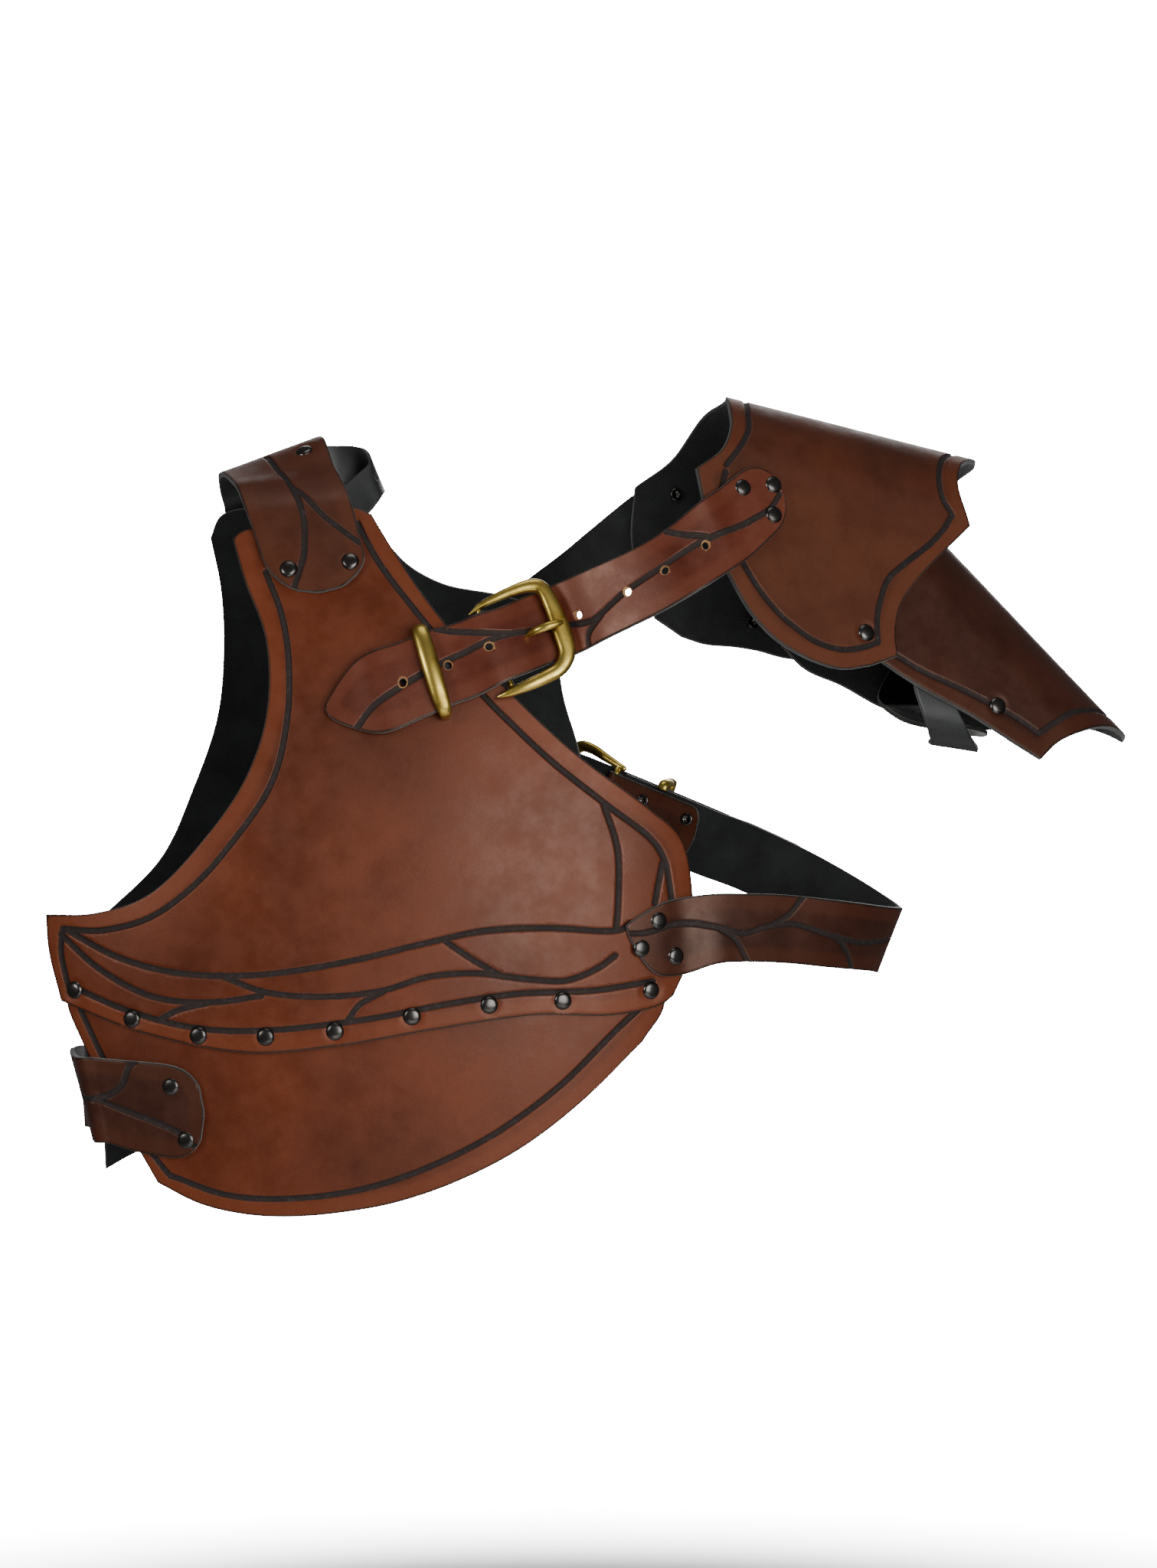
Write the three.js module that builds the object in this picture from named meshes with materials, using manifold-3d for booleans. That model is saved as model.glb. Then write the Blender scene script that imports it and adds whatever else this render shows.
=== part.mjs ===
// Leather chest armour with one shoulder plate, as it is when worn, on no one. Millimetres, +Z up.
// The wearer faces -Y and their left arm is at +X. The origin lies under the crest of the shoulder strap.
import * as THREE from "three";
import { mergeVertices } from "three/addons/utils/BufferGeometryUtils.js";
import Module from "manifold-3d";

const wasm = await Module();
wasm.setup();

// Driving sizes
const LEATHER = 3;
const LAYER_GAP = 0.5;
const THIN_LEATHER = 1.6;
const ON_PLATE = LEATHER + LAYER_GAP;
const UNDER_PLATE = -LAYER_GAP - LEATHER;
const SEAM_GAP = 0.3;
const BELT_WIDTH = 38;
const PUNCH_RADIUS = 2;
const RIVET = { cap: 4.9, dome: 2.1, shank: 1.6, foot: 3.6, footHeight: 1, hole: 2.1, sides: 6 };

const COLOURS = {
  chestnut: { color: "#6a3a26", roughness: 0.5, metalness: 0 },
  darkBrown: { color: "#42261c", roughness: 0.5, metalness: 0 },
  black: { color: "#1c1c1d", roughness: 0.65, metalness: 0 },
  brass: { color: "#a8954a", roughness: 0.35, metalness: 1 },
  gunmetal: { color: "#55524f", roughness: 0.3, metalness: 1 },
};

const armour = new THREE.Group();

// A table is a list of rows with named columns.
function table(columns, rows) {
  const names = columns.split(" ");
  return rows.map((row) => Object.fromEntries(names.map((name, k) => [name, row[k]])));
}

function mix(from, to, share) {
  return from + (to - from) * share;
}

// A smooth curve through the values of one column, read at a place along another.
function smoothColumn(rows, key, column, place) {
  const last = rows.length - 1;
  let k = rows.findIndex((row, n) => n > 0 && place <= row[key]);
  k = k < 0 ? last - 1 : k - 1;
  const slope = (n) => {
    const low = rows[Math.max(n - 1, 0)];
    const high = rows[Math.min(n + 1, last)];
    return (high[column] - low[column]) / (high[key] - low[key]);
  };
  const span = rows[k + 1][key] - rows[k][key];
  const u = (place - rows[k][key]) / span;
  const rise = (2 * u ** 3 - 3 * u ** 2 + 1) * rows[k][column] + (3 * u ** 2 - 2 * u ** 3) * rows[k + 1][column];
  return rise + ((u ** 3 - 2 * u ** 2 + u) * slope(k) + (u ** 3 - u ** 2) * slope(k + 1)) * span;
}

// The figure under the plates: rounded cross-sections at several heights.
const TORSO_MIDDLE = 60;
const TORSO_ROUNDNESS = 2.3;
const TORSO = table("up halfWidth front back", [
  [-430, 186, 92, 80],
  [-370, 198, 100, 86],
  [-310, 208, 106, 92],
  [-240, 213, 108, 94],
  [-170, 212, 102, 88],
  [-100, 208, 88, 74],
  [-40, 202, 68, 52],
  [10, 196, 44, 30],
]);

function torsoPoint(side, across, up) {
  const halfWidth = smoothColumn(TORSO, "up", "halfWidth", up);
  const depth = smoothColumn(TORSO, "up", side < 0 ? "front" : "back", up);
  const reach = Math.min(Math.abs(across - TORSO_MIDDLE) / halfWidth, 0.995);
  const round = (1 - reach ** TORSO_ROUNDNESS) ** (1 / TORSO_ROUNDNESS);
  return new THREE.Vector3(across, side * depth * round, up);
}

// A surface that can be lifted along its own normal, away from the wearer.
function liftedTorso(side) {
  const step = 0.5;
  return (across, up, lift = 0) => {
    const alongAcross = torsoPoint(side, across + step, up).sub(torsoPoint(side, across - step, up));
    const alongUp = torsoPoint(side, across, up + step).sub(torsoPoint(side, across, up - step));
    const normal = alongAcross.cross(alongUp).normalize();
    if (normal.y * side < 0) normal.negate();
    return torsoPoint(side, across, up).addScaledVector(normal, lift);
  };
}

const front = liftedTorso(-1);
const back = liftedTorso(1);

// The two lames of the shoulder plate are arches: straight ridge, round top, flat legs.
const radians = THREE.MathUtils.degToRad;
const LAME = { slope: 12, yaw: 20, roll: 15, fold: 35.4, upperRadius: 48 };
const LAME_LOWER_RADIUS = LAME.upperRadius - LEATHER - LAYER_GAP;
const RIDGE_START = new THREE.Vector3(254, -15, 29.6);
const LOWER_START = { along: 112, down: 41.1 };

function lameFrames() {
  const { slope, yaw, roll, fold } = LAME;
  const along = new THREE.Vector3(1, 0, 0).applyAxisAngle(new THREE.Vector3(0, 1, 0), radians(slope));
  along.applyAxisAngle(new THREE.Vector3(0, 0, 1), radians(yaw));
  const level = new THREE.Vector3(-Math.sin(radians(yaw)), Math.cos(radians(yaw)), 0);
  const rearward = level.clone().applyAxisAngle(along, -radians(roll));
  const down = rearward.clone().cross(along);
  const foldedAlong = along.clone().applyAxisAngle(rearward, radians(fold));
  const foldedDown = down.clone().applyAxisAngle(rearward, radians(fold));
  const upper = { start: RIDGE_START, along, rearward, down, radius: LAME.upperRadius };
  const start = RIDGE_START.clone().addScaledVector(along, LOWER_START.along).addScaledVector(down, LOWER_START.down);
  const lower = { start, along: foldedAlong, rearward, down: foldedDown, radius: LAME_LOWER_RADIUS };
  return { upper, lower };
}

const FRAMES = lameFrames();

function lamePlace(frame, along, rearward, down) {
  return frame.start.clone().addScaledVector(frame.along, along)
    .addScaledVector(frame.rearward, rearward).addScaledVector(frame.down, down);
}

// along: along the ridge. girth: round the arch from the ridge, towards the back when positive.
function archSurface(frame) {
  const quarter = frame.radius * Math.PI / 2;
  return (along, girth, lift = 0) => {
    const turn = Math.min(Math.abs(girth), quarter) / frame.radius;
    const leg = Math.max(Math.abs(girth) - quarter, 0);
    const reach = Math.sign(girth) * (frame.radius + lift) * Math.sin(turn);
    const drop = frame.radius - (frame.radius + lift) * Math.cos(turn) + leg;
    return lamePlace(frame, along, reach, drop);
  };
}

const upperLame = archSurface(FRAMES.upper);
const lowerLame = archSurface(FRAMES.lower);

// Solids
function signedVolume(position, index) {
  const corner = (k) => new THREE.Vector3().fromBufferAttribute(position, index[k]);
  let sum = 0;
  for (let k = 0; k < index.length; k += 3) sum += corner(k).dot(corner(k + 1).cross(corner(k + 2)));
  return sum / 6;
}

function solidFrom(points, index) {
  const geometry = new THREE.BufferGeometry();
  geometry.setAttribute("position", new THREE.Float32BufferAttribute(points.flatMap((p) => p.toArray()), 3));
  if (signedVolume(geometry.attributes.position, index) < 0) index.reverse();
  geometry.setIndex(index);
  return geometry;
}

// A closed wall between two matching grids of points.
function wallBetween(outer, inner) {
  const rows = outer.length;
  const columns = outer[0].length;
  const at = (side, i, j) => side * rows * columns + i * columns + j;
  const index = [];
  const quad = (a, b, c, d) => index.push(a, b, c, a, c, d);
  for (let i = 0; i < rows - 1; i++) {
    for (let j = 0; j < columns - 1; j++) {
      quad(at(0, i, j), at(0, i + 1, j), at(0, i + 1, j + 1), at(0, i, j + 1));
      quad(at(1, i, j + 1), at(1, i + 1, j + 1), at(1, i + 1, j), at(1, i, j));
    }
  }
  const rim = [];
  for (let i = 0; i < rows - 1; i++) rim.push([i, 0]);
  for (let j = 0; j < columns - 1; j++) rim.push([rows - 1, j]);
  for (let i = rows - 1; i > 0; i--) rim.push([i, columns - 1]);
  for (let j = columns - 1; j > 0; j--) rim.push([0, j]);
  rim.forEach(([i, j], k) => {
    const [nextI, nextJ] = rim[(k + 1) % rim.length];
    quad(at(0, nextI, nextJ), at(0, i, j), at(1, i, j), at(1, nextI, nextJ));
  });
  return solidFrom([...outer.flat(), ...inner.flat()], index);
}

// A side of a panel: smooth between its corners, with a fixed number of steps.
function panelSide(rows, steps) {
  const runs = [[]];
  rows.forEach((row, k) => {
    runs.at(-1).push(new THREE.Vector3(row.a, row.b, 0));
    if (row.corner && k > 0 && k < rows.length - 1) runs.push([new THREE.Vector3(row.a, row.b, 0)]);
  });
  const curves = runs.map((run) => new THREE.CatmullRomCurve3(run, false, "centripetal"));
  const lengths = curves.map((curve) => curve.getLength());
  const total = lengths.reduce((sum, length) => sum + length, 0);
  const points = [curves[0].getPoint(0)];
  let reached = 0;
  curves.forEach((curve, k) => {
    const before = Math.round(steps * reached / total);
    reached += lengths[k];
    const count = Math.round(steps * reached / total) - before;
    points.push(...curve.getSpacedPoints(count).slice(1));
  });
  return points;
}

// The pattern of a panel, filled in evenly between its four sides.
function panelPattern({ left, right, bottom, top }, across, up) {
  const west = panelSide(left, up);
  const east = panelSide(right, up);
  const south = panelSide([left[0], ...bottom, right[0]], across);
  const north = panelSide([left.at(-1), ...top, right.at(-1)], across);
  const pattern = [];
  for (let i = 0; i <= up; i++) {
    const v = i / up;
    pattern.push([]);
    for (let j = 0; j <= across; j++) {
      const u = j / across;
      const sides = (axis) => mix(south[j][axis], north[j][axis], v) + mix(west[i][axis], east[i][axis], u);
      const corners = (axis) => mix(mix(south[0][axis], south[across][axis], u),
        mix(north[0][axis], north[across][axis], u), v);
      pattern[i].push([sides("x") - corners("x"), sides("y") - corners("y")]);
    }
  }
  return pattern;
}

function panel(surface, outline, across, up, low, high) {
  const pattern = panelPattern(outline, across, up);
  const layer = (lift) => pattern.map((row) => row.map(([a, b]) => surface(a, b, lift)));
  return wallBetween(layer(high), layer(low));
}

const outlineTable = (rows) => table("a b corner", rows);

// Straps: stations across the strap, from edge a to edge b, on a surface or in free space.
function onSurface(surface, rows) {
  return table("aFirst aSecond bFirst bSecond lift", rows).map((row) => (share) =>
    surface(mix(row.aFirst, row.bFirst, share), mix(row.aSecond, row.bSecond, share), row.lift));
}

function inSpace(rows) {
  return table("ax ay az bx by bz", rows).map((row) => (share) =>
    new THREE.Vector3(mix(row.ax, row.bx, share), mix(row.ay, row.by, share), mix(row.az, row.bz, share)));
}

function strapPoint(stations, place, share) {
  const k = Math.min(Math.floor(place), stations.length - 2);
  const near = [k - 1, k, k + 1, k + 2].map((n) => THREE.MathUtils.clamp(n, 0, stations.length - 1));
  const [p0, p1, p2, p3] = near.map((n) => stations[n](share));
  const u = place - k;
  const curve = (axis) => p1[axis] + 0.5 * u * (p2[axis] - p0[axis]
    + u * (2 * p0[axis] - 5 * p1[axis] + 4 * p2[axis] - p3[axis]
    + u * (3 * (p1[axis] - p2[axis]) + p3[axis] - p0[axis])));
  return new THREE.Vector3(curve("x"), curve("y"), curve("z"));
}

// How wide a strap still is, as a share, at a distance from an end that is rounded over a length.
function endWidth(distance, length) {
  if (length <= 0 || distance >= length) return 1;
  return Math.max(Math.sqrt(1 - (1 - distance / length) ** 2), 0.22);
}

// Places along a strap, closer together where its ends are rounded.
function strapPlaces(stations, spacing, startRound, endRound) {
  const fine = 400;
  const lengths = [0];
  for (let k = 1; k <= fine; k++) {
    const here = strapPoint(stations, k / fine * (stations.length - 1), 0.5);
    const before = strapPoint(stations, (k - 1) / fine * (stations.length - 1), 0.5);
    lengths.push(lengths.at(-1) + here.distanceTo(before));
  }
  const total = lengths.at(-1);
  const wanted = [0.02, 0.12, 0.3, 0.6];
  const distances = startRound > 0 ? wanted.map((share) => share * startRound) : [0];
  const from = startRound;
  const to = total - endRound;
  const steps = Math.max(Math.round((to - from) / spacing), 1);
  for (let k = startRound > 0 ? 0 : 1; k <= steps; k++) distances.push(mix(from, to, k / steps));
  if (endRound > 0) distances.push(...wanted.toReversed().map((share) => total - share * endRound));
  return distances.map((distance) => {
    const k = Math.min(lengths.findIndex((length) => length >= distance - 1e-6), fine);
    const step = k > 0 ? (distance - lengths[k - 1]) / (lengths[k] - lengths[k - 1]) : 0;
    const place = (Math.max(k - 1, 0) + step) / fine * (stations.length - 1);
    const width = endWidth(distance, startRound) * endWidth(total - distance, endRound);
    return { place, width };
  });
}

// A strap's wall, from its stations outwards. facing is 1 or -1: the side that its thickness grows to.
// With a spacing of 0 the wall has one row of points at each station.
function strap(stations, { facing, thickness = LEATHER, across = 4, spacing = 11, startRound = 0, endRound = 0 }) {
  const places = spacing > 0 ? strapPlaces(stations, spacing, startRound, endRound)
    : stations.map((_, place) => ({ place, width: 1 }));
  const base = places.map(({ place, width }) => Array.from({ length: across + 1 }, (_, j) =>
    strapPoint(stations, place, 0.5 + (j / across - 0.5) * width)));
  const outer = base.map((row, i) => row.map((point, j) => {
    const along = base[Math.min(i + 1, base.length - 1)][j].clone().sub(base[Math.max(i - 1, 0)][j]);
    const over = row[Math.min(j + 1, across)].clone().sub(row[Math.max(j - 1, 0)]);
    const normal = along.cross(over).normalize().multiplyScalar(facing);
    return point.clone().addScaledVector(normal, thickness);
  }));
  return wallBetween(outer, base);
}

// A bar that follows points, with an oval section whose halves are given at each point.
function bar(points, normals, halves, sides = 8) {
  const rings = points.map((point, k) => {
    const ahead = points[Math.min(k + 1, points.length - 1)].clone().sub(points[Math.max(k - 1, 0)]).normalize();
    const flat = ahead.clone().cross(normals[k]).normalize();
    const rise = flat.clone().cross(ahead).normalize();
    return Array.from({ length: sides }, (_, n) => {
      const turn = 2 * Math.PI * n / sides;
      return point.clone().addScaledVector(flat, halves[k].wide * Math.cos(turn))
        .addScaledVector(rise, halves[k].high * Math.sin(turn));
    });
  });
  const index = [];
  for (let k = 0; k < rings.length - 1; k++) {
    for (let n = 0; n < sides; n++) {
      const next = (n + 1) % sides;
      const here = k * sides;
      index.push(here + n, here + next, here + sides + next, here + n, here + sides + next, here + sides + n);
    }
  }
  const last = (rings.length - 1) * sides;
  for (let n = 1; n < sides - 1; n++) index.push(0, n + 1, n, last, last + n, last + n + 1);
  return solidFrom(rings.flat(), index);
}

function toManifold(geometry) {
  const bare = geometry.clone();
  bare.deleteAttribute("normal");
  bare.deleteAttribute("uv");
  const merged = mergeVertices(bare, 1e-4);
  const mesh = new wasm.Mesh({
    numProp: 3,
    vertProperties: new Float32Array(merged.attributes.position.array),
    triVerts: new Uint32Array(merged.index.array),
  });
  return new wasm.Manifold(mesh);
}

function fromManifold(solid) {
  const mesh = solid.getMesh();
  const geometry = new THREE.BufferGeometry();
  geometry.setAttribute("position", new THREE.BufferAttribute(mesh.vertProperties, 3));
  geometry.setIndex(new THREE.BufferAttribute(mesh.triVerts, 1));
  return geometry;
}

const pierce = (geometry, cutters) =>
  fromManifold(cutters.reduce((solid, cutter) => solid.subtract(toManifold(cutter)), toManifold(geometry)));

const joined = (...geometries) =>
  fromManifold(geometries.slice(1).reduce((solid, next) => solid.add(toManifold(next)), toManifold(geometries[0])));

// A drill through leather at a point, along a direction.
function drill(point, direction, radius, depth = 40) {
  const cutter = new THREE.CylinderGeometry(radius, radius, depth, RIVET.sides);
  return placed(cutter, point, direction);
}

function placed(geometry, point, direction) {
  const turn = new THREE.Quaternion().setFromUnitVectors(new THREE.Vector3(0, 1, 0), direction);
  geometry.applyQuaternion(turn);
  return geometry.translate(point.x, point.y, point.z);
}

function add(name, geometry, finish) {
  const mesh = new THREE.Mesh(geometry, new THREE.MeshStandardMaterial(finish));
  mesh.name = name;
  armour.add(mesh);
}

// A place on a surface where a rivet goes: its point on the outermost leather, and the outward direction.
function spot(surface, first, second, outerLift) {
  const point = surface(first, second, outerLift);
  const direction = surface(first, second, outerLift + 1).sub(point).normalize();
  return { point, direction };
}

function rivetGeometry({ point, direction, grip, dome = RIVET.dome }) {
  const seat = SEAM_GAP;
  const under = -grip - SEAM_GAP;
  const profile = [
    [0, seat + dome],
    [RIVET.cap * 0.7, seat + dome * 0.75],
    [RIVET.cap, seat],
    [RIVET.shank, seat],
    [RIVET.shank, under],
    [RIVET.foot, under],
    [RIVET.foot, under - RIVET.footHeight],
    [0, under - RIVET.footHeight],
  ].map(([radius, height]) => new THREE.Vector2(radius, height));
  return placed(new THREE.LatheGeometry(profile.toReversed(), RIVET.sides), point, direction);
}

// Every rivet: its place and the thickness of leather that it holds.
const RIVETS = {};
function rivetRow(prefix, surface, outerLift, grip, rows) {
  RIVETS[prefix] = rows.map(([first, second]) => ({ ...spot(surface, first, second, outerLift), grip }));
}

const TWO_LAYERS = 2 * LEATHER + LAYER_GAP;
rivetRow("seam_rivet", front, LEATHER, TWO_LAYERS, [
  [-98.5, -289], [-67, -304], [-31, -312.5], [5, -313], [42, -310], [83, -302], [124, -296], [163, -294], [210, -289],
]);
rivetRow("shoulder_rivet_front", front, ON_PLATE + LEATHER, TWO_LAYERS, [[16, -64], [49, -60]]);
rivetRow("shoulder_rivet_back", back, ON_PLATE + LEATHER, TWO_LAYERS, [[-10, -62], [23, -62]]);
rivetRow("side_rivet_front", front, ON_PLATE + LEATHER, TWO_LAYERS + LAYER_GAP, [[212.5, -251.5], [203.5, -266], [221.5, -270.5]]);
rivetRow("side_rivet_back", back, ON_PLATE + LEATHER, TWO_LAYERS, [[122, -158], [128, -143]]);
rivetRow("low_rivet_front", front, UNDER_PLATE + 2 * LEATHER + LAYER_GAP, TWO_LAYERS, [[-46, -340], [-38, -369]]);
rivetRow("low_rivet_back", back, ON_PLATE + LEATHER, TWO_LAYERS, [[-68, -337], [-68, -362]]);
rivetRow("neck_rivet_back", back, ON_PLATE + LEATHER, TWO_LAYERS + LAYER_GAP, [[128, -84], [138, -96]]);
const HALF = LEATHER / 2;
rivetRow("chest_rivet", upperLame, HALF + LAYER_GAP + LEATHER, TWO_LAYERS, [[-7.5, -94], [10, -88], [12, -105]]);
rivetRow("neck_rivet_lame", upperLame, HALF + 2 * LAYER_GAP + LEATHER, TWO_LAYERS + 2 * LAYER_GAP, [[-7.5, 66]]);
rivetRow("lame_rivet", upperLame, HALF, TWO_LAYERS, [[73.8, -157.5], [44.8, 131]]);
rivetRow("arm_rivet", lowerLame, HALF, LEATHER + LAYER_GAP, [[101, -90]]);

const holes = (...names) => names.flatMap((name) => RIVETS[name])
  .map(({ point, direction }) => drill(point, direction, RIVET.hole));

// Front plates
const FRONT_UPPER = {
  left: outlineTable([
    [-106, -295], [-113, -268], [-114.5, -248.5, 1], [-88, -247.5], [-59, -238], [-30, -210], [-6, -175],
    [5, -140], [4, -101], [-8, -69], [-15, -46],
  ]),
  right: outlineTable([
    [222, -292], [231, -270], [232, -235], [226, -207], [210, -192], [169, -161], [132, -126], [96, -87],
    [71, -51], [60, -33],
  ]),
  bottom: outlineTable([[-64, -310.5], [-6, -321.5], [42, -318], [92, -309.5], [149, -301.5], [189, -302], [215, -297]]),
  top: outlineTable([[-10, -42], [20, -36], [50, -29]]),
};
const FRONT_LOWER = {
  left: outlineTable([[-55, -393], [-82, -346], [-97, -316], [-105, -296], [-104, -277]]),
  right: outlineTable([[207, -317], [219, -297], [215, -272]]),
  bottom: outlineTable([
    [-32, -404], [-7, -409.5], [18, -410.5], [46, -408], [75, -402.5], [108, -391], [141, -374], [174, -349],
  ]),
  top: outlineTable([[-60, -288], [-6, -297], [42, -294], [92, -285], [149, -277], [190, -276]]),
};

add("front_upper", pierce(panel(front, FRONT_UPPER, 20, 18, 0, LEATHER),
  holes("seam_rivet", "shoulder_rivet_front", "side_rivet_front")), COLOURS.chestnut);
add("front_lower", pierce(panel(front, FRONT_LOWER, 20, 7, UNDER_PLATE, -LAYER_GAP),
  holes("seam_rivet", "low_rivet_front")), COLOURS.chestnut);

// Back plate
const BACK_PLATE = {
  left: outlineTable([
    [-94, -395], [-97, -340], [-98, -254, 1], [-65, -220], [-47, -181], [-33, -140], [-29, -102], [-30, -68],
    [-35, -40],
  ]),
  right: outlineTable([
    [150, -340], [176, -290], [182, -230], [172, -160], [163, -128], [157, -79, 1], [124, -71], [97, -66],
    [76, -55], [60, -38], [50, -29],
  ]),
  bottom: outlineTable([[-77, -386], [-30, -372], [40, -362], [110, -354]]),
  top: outlineTable([[-29, -28], [-12, -23], [20, -21], [42, -23]]),
};
add("back_plate", pierce(panel(back, BACK_PLATE, 16, 15, 0, LEATHER),
  holes("shoulder_rivet_back", "side_rivet_back", "low_rivet_back", "neck_rivet_back")), COLOURS.black);

// Shoulder strap, from the front plate over the crest to the back plate
const shoulderStations = [
  ...onSurface(front, [
    [9, -78, 56, -75, ON_PLATE],
    [3, -64, 58, -60, ON_PLATE],
    [-1, -52, 55, -49, ON_PLATE],
    [-5, -41, 52, -36, ON_PLATE + 0.2],
    [-9, -31, 48, -24, ON_PLATE + 0.4],
  ]),
  ...inSpace([
    [-14, -54, -19, 43, -53, -12.5],
    [-18, -41, -14.2, 39, -40.5, -5],
    [-21, -29, -11.3, 36, -29.5, 4],
    [-23.5, -18, -9.5, 33.5, -20, 10],
    [-26, -5, -8.7, 30.5, -8, 11.7],
    [-28, 10, -10.2, 27.5, 8, 10.5],
    [-28, 28, -18, 27, 29, 0],
  ]),
  ...onSurface(back, [
    [-27, -27, 28, -12, ON_PLATE + 1],
    [-27, -44, 31, -33, ON_PLATE + 0.3],
    [-24, -60, 36, -54, ON_PLATE],
    [-17, -78, 35, -75, ON_PLATE],
  ]),
];

// The rivet just in front of the crest, which also holds the tail under the strap
const CREST_RIVET = { place: 7.35, share: 0.77, grip: TWO_LAYERS + 4 };
function crestRivet() {
  const { place, share, grip } = CREST_RIVET;
  const under = strapPoint(shoulderStations, place, share);
  const along = strapPoint(shoulderStations, place + 0.1, share).sub(under);
  const over = strapPoint(shoulderStations, place, share + 0.1).sub(under);
  const direction = over.cross(along).normalize();
  return { point: under.clone().addScaledVector(direction, LEATHER), direction, grip };
}
RIVETS.crest_rivet = [crestRivet()];
add("shoulder_strap", pierce(strap(shoulderStations, { facing: -1, across: 4, startRound: 24, endRound: 24 }),
  holes("shoulder_rivet_front", "shoulder_rivet_back", "crest_rivet")), COLOURS.chestnut);

// Short strap with punched holes that is riveted under the crest and curls forwards
const tailStations = inSpace([
  [4, -3, -1.8, 8, -33, -9.4],
  [20, -3, 4.6, 21, -33, -6],
  [30, 3, 7.4, 31, -27, -2],
  [38, 12, 9, 38.5, -12, -13],
  [46.5, 18, 10.2, 49, 14, -19.5],
  [53, 14.5, 9, 59.5, 11, -19],
  [56.5, 5, 4.5, 65, -4, -16.5],
  [55, -1.5, -1, 65, -16, -18],
  [50, -7, -6, 61.5, -24, -22.5],
  [43.5, -12, -12, 55, -29, -30],
  [36, -16, -18, 45, -33, -38],
]);
const TAIL_HOLES = [{ place: 6.9, share: 0.5 }, { place: 7.9, share: 0.45 }];
function strapHoles(stations, places, radius = PUNCH_RADIUS) {
  return places.map(({ place, share }) => {
    const point = strapPoint(stations, place, share);
    const along = strapPoint(stations, place + 0.05, share).sub(point);
    const over = strapPoint(stations, place, share + 0.05).sub(point);
    return drill(point, along.cross(over).normalize(), radius, 12);
  });
}
add("shoulder_tail", pierce(strap(tailStations, { facing: -1, thickness: 2.2, across: 2, spacing: 8, endRound: 12 }),
  [...holes("crest_rivet"), ...strapHoles(tailStations, TAIL_HOLES)]), COLOURS.black);

// Chest strap, from the front plate through its buckle to the shoulder plate
const OVER_TAB = ON_PLATE + 2 * THIN_LEATHER + 2 * SEAM_GAP + 0.4;
const chestStations = [
  ...onSurface(front, [
    [36, -127, 38, -152, 4.4],
    [48, -116, 55, -153, 5.4],
    [61, -109, 71, -152, OVER_TAB],
    [76, -104, 88, -145, OVER_TAB],
    [91, -98, 104, -138, OVER_TAB],
    [103.5, -95, 118, -133, OVER_TAB + 1.4],
    [115.8, -90.8, 131, -126.5, OVER_TAB + 3.9],
    [128.4, -86, 143.6, -121, OVER_TAB + 1.6],
    [141, -79.5, 156.5, -115, ON_PLATE + 2.2],
  ]),
  ...inSpace([
    [158, -78, -71, 173, -87, -108],
    [177, -87, -63, 191, -96, -99],
    [202, -96, -52, 216, -105, -87],
    [220, -98, -41, 237, -107.5, -75],
  ]),
  ...onSurface(upperLame, [
    [-31, -107, -9, -142, HALF + LAYER_GAP + 0.4],
    [-21, -97, 2, -131, HALF + LAYER_GAP],
    [-9, -84, 14, -116, HALF + LAYER_GAP],
    [3, -72, 26, -104, HALF + LAYER_GAP],
  ]),
];
const CHEST_HOLES = [2.9, 4.7, 9, 10.2, 11.15, 12.5].map((place) => ({ place, share: 0.52 }));
const PRONG_HOLE = { across: 143, up: -100.8, radius: 5.3 };
function prongHole() {
  const { point, direction } = spot(front, PRONG_HOLE.across, PRONG_HOLE.up, ON_PLATE);
  return drill(point, direction, PRONG_HOLE.radius);
}
add("chest_strap", pierce(strap(chestStations, { facing: -1, spacing: 10, across: 3, startRound: 26, endRound: 21 }),
  [...holes("chest_rivet"), ...strapHoles(chestStations, CHEST_HOLES, 2.2), prongHole()]), COLOURS.chestnut);

// Chest buckle: an open horseshoe with a middle bar, lying on the strap
const MIDDLE_BAR = { radius: 1.8, lift: ON_PLATE + THIN_LEATHER + 2.2 };
const BUCKLE_OUTLINE = table("across up lift wide high", [
  [112.5, -89.5, 8, 0.9, 0.9],
  [121, -83.5, 9.5, 2.0, 2.0],
  [132.8, -78.4, 11, 2.8, 2.8],
  [144, -75, 12.2, 3.6, 3.0],
  [150.5, -76.5, 12.6, 3.9, 3.0],
  [156, -86, 12.8, 4.6, 2.9],
  [160.5, -98, 12.8, 5.2, 2.8],
  [163.5, -110, 12.8, 4.7, 2.9],
  [160, -118.5, 12.6, 4.0, 3.0],
  [152, -123.5, 12.2, 3.6, 3.0],
  [142, -128, 11, 3.1, 2.8],
  [134, -131, 9.5, 2.3, 2.0],
  [127.5, -133, 8, 0.9, 0.9],
]);

// The plate's own outward direction, and a place held off it by a lift.
function offPlate(surface, across, up, lift) {
  return { point: surface(across, up, lift), normal: surface(across, up, lift + 1).sub(surface(across, up, lift)) };
}

function barOn(surface, rows, sides) {
  const places = rows.map((row) => offPlate(surface, row.across, row.up, row.lift));
  return bar(places.map((place) => place.point), places.map((place) => place.normal), rows, sides);
}

const middleBar = barOn(front, table("across up lift wide high", [
  [116.7, -84.8, MIDDLE_BAR.lift + 1, 1.8, 1.8],
  [118.3, -88.5, MIDDLE_BAR.lift, 1.8, 1.8],
  [132.7, -121.5, MIDDLE_BAR.lift, 1.8, 1.8],
  [136.2, -129.6, MIDDLE_BAR.lift + 1, 1.8, 1.8],
]));
add("chest_buckle", joined(barOn(front, BUCKLE_OUTLINE, 8), middleBar), COLOURS.brass);

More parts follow.
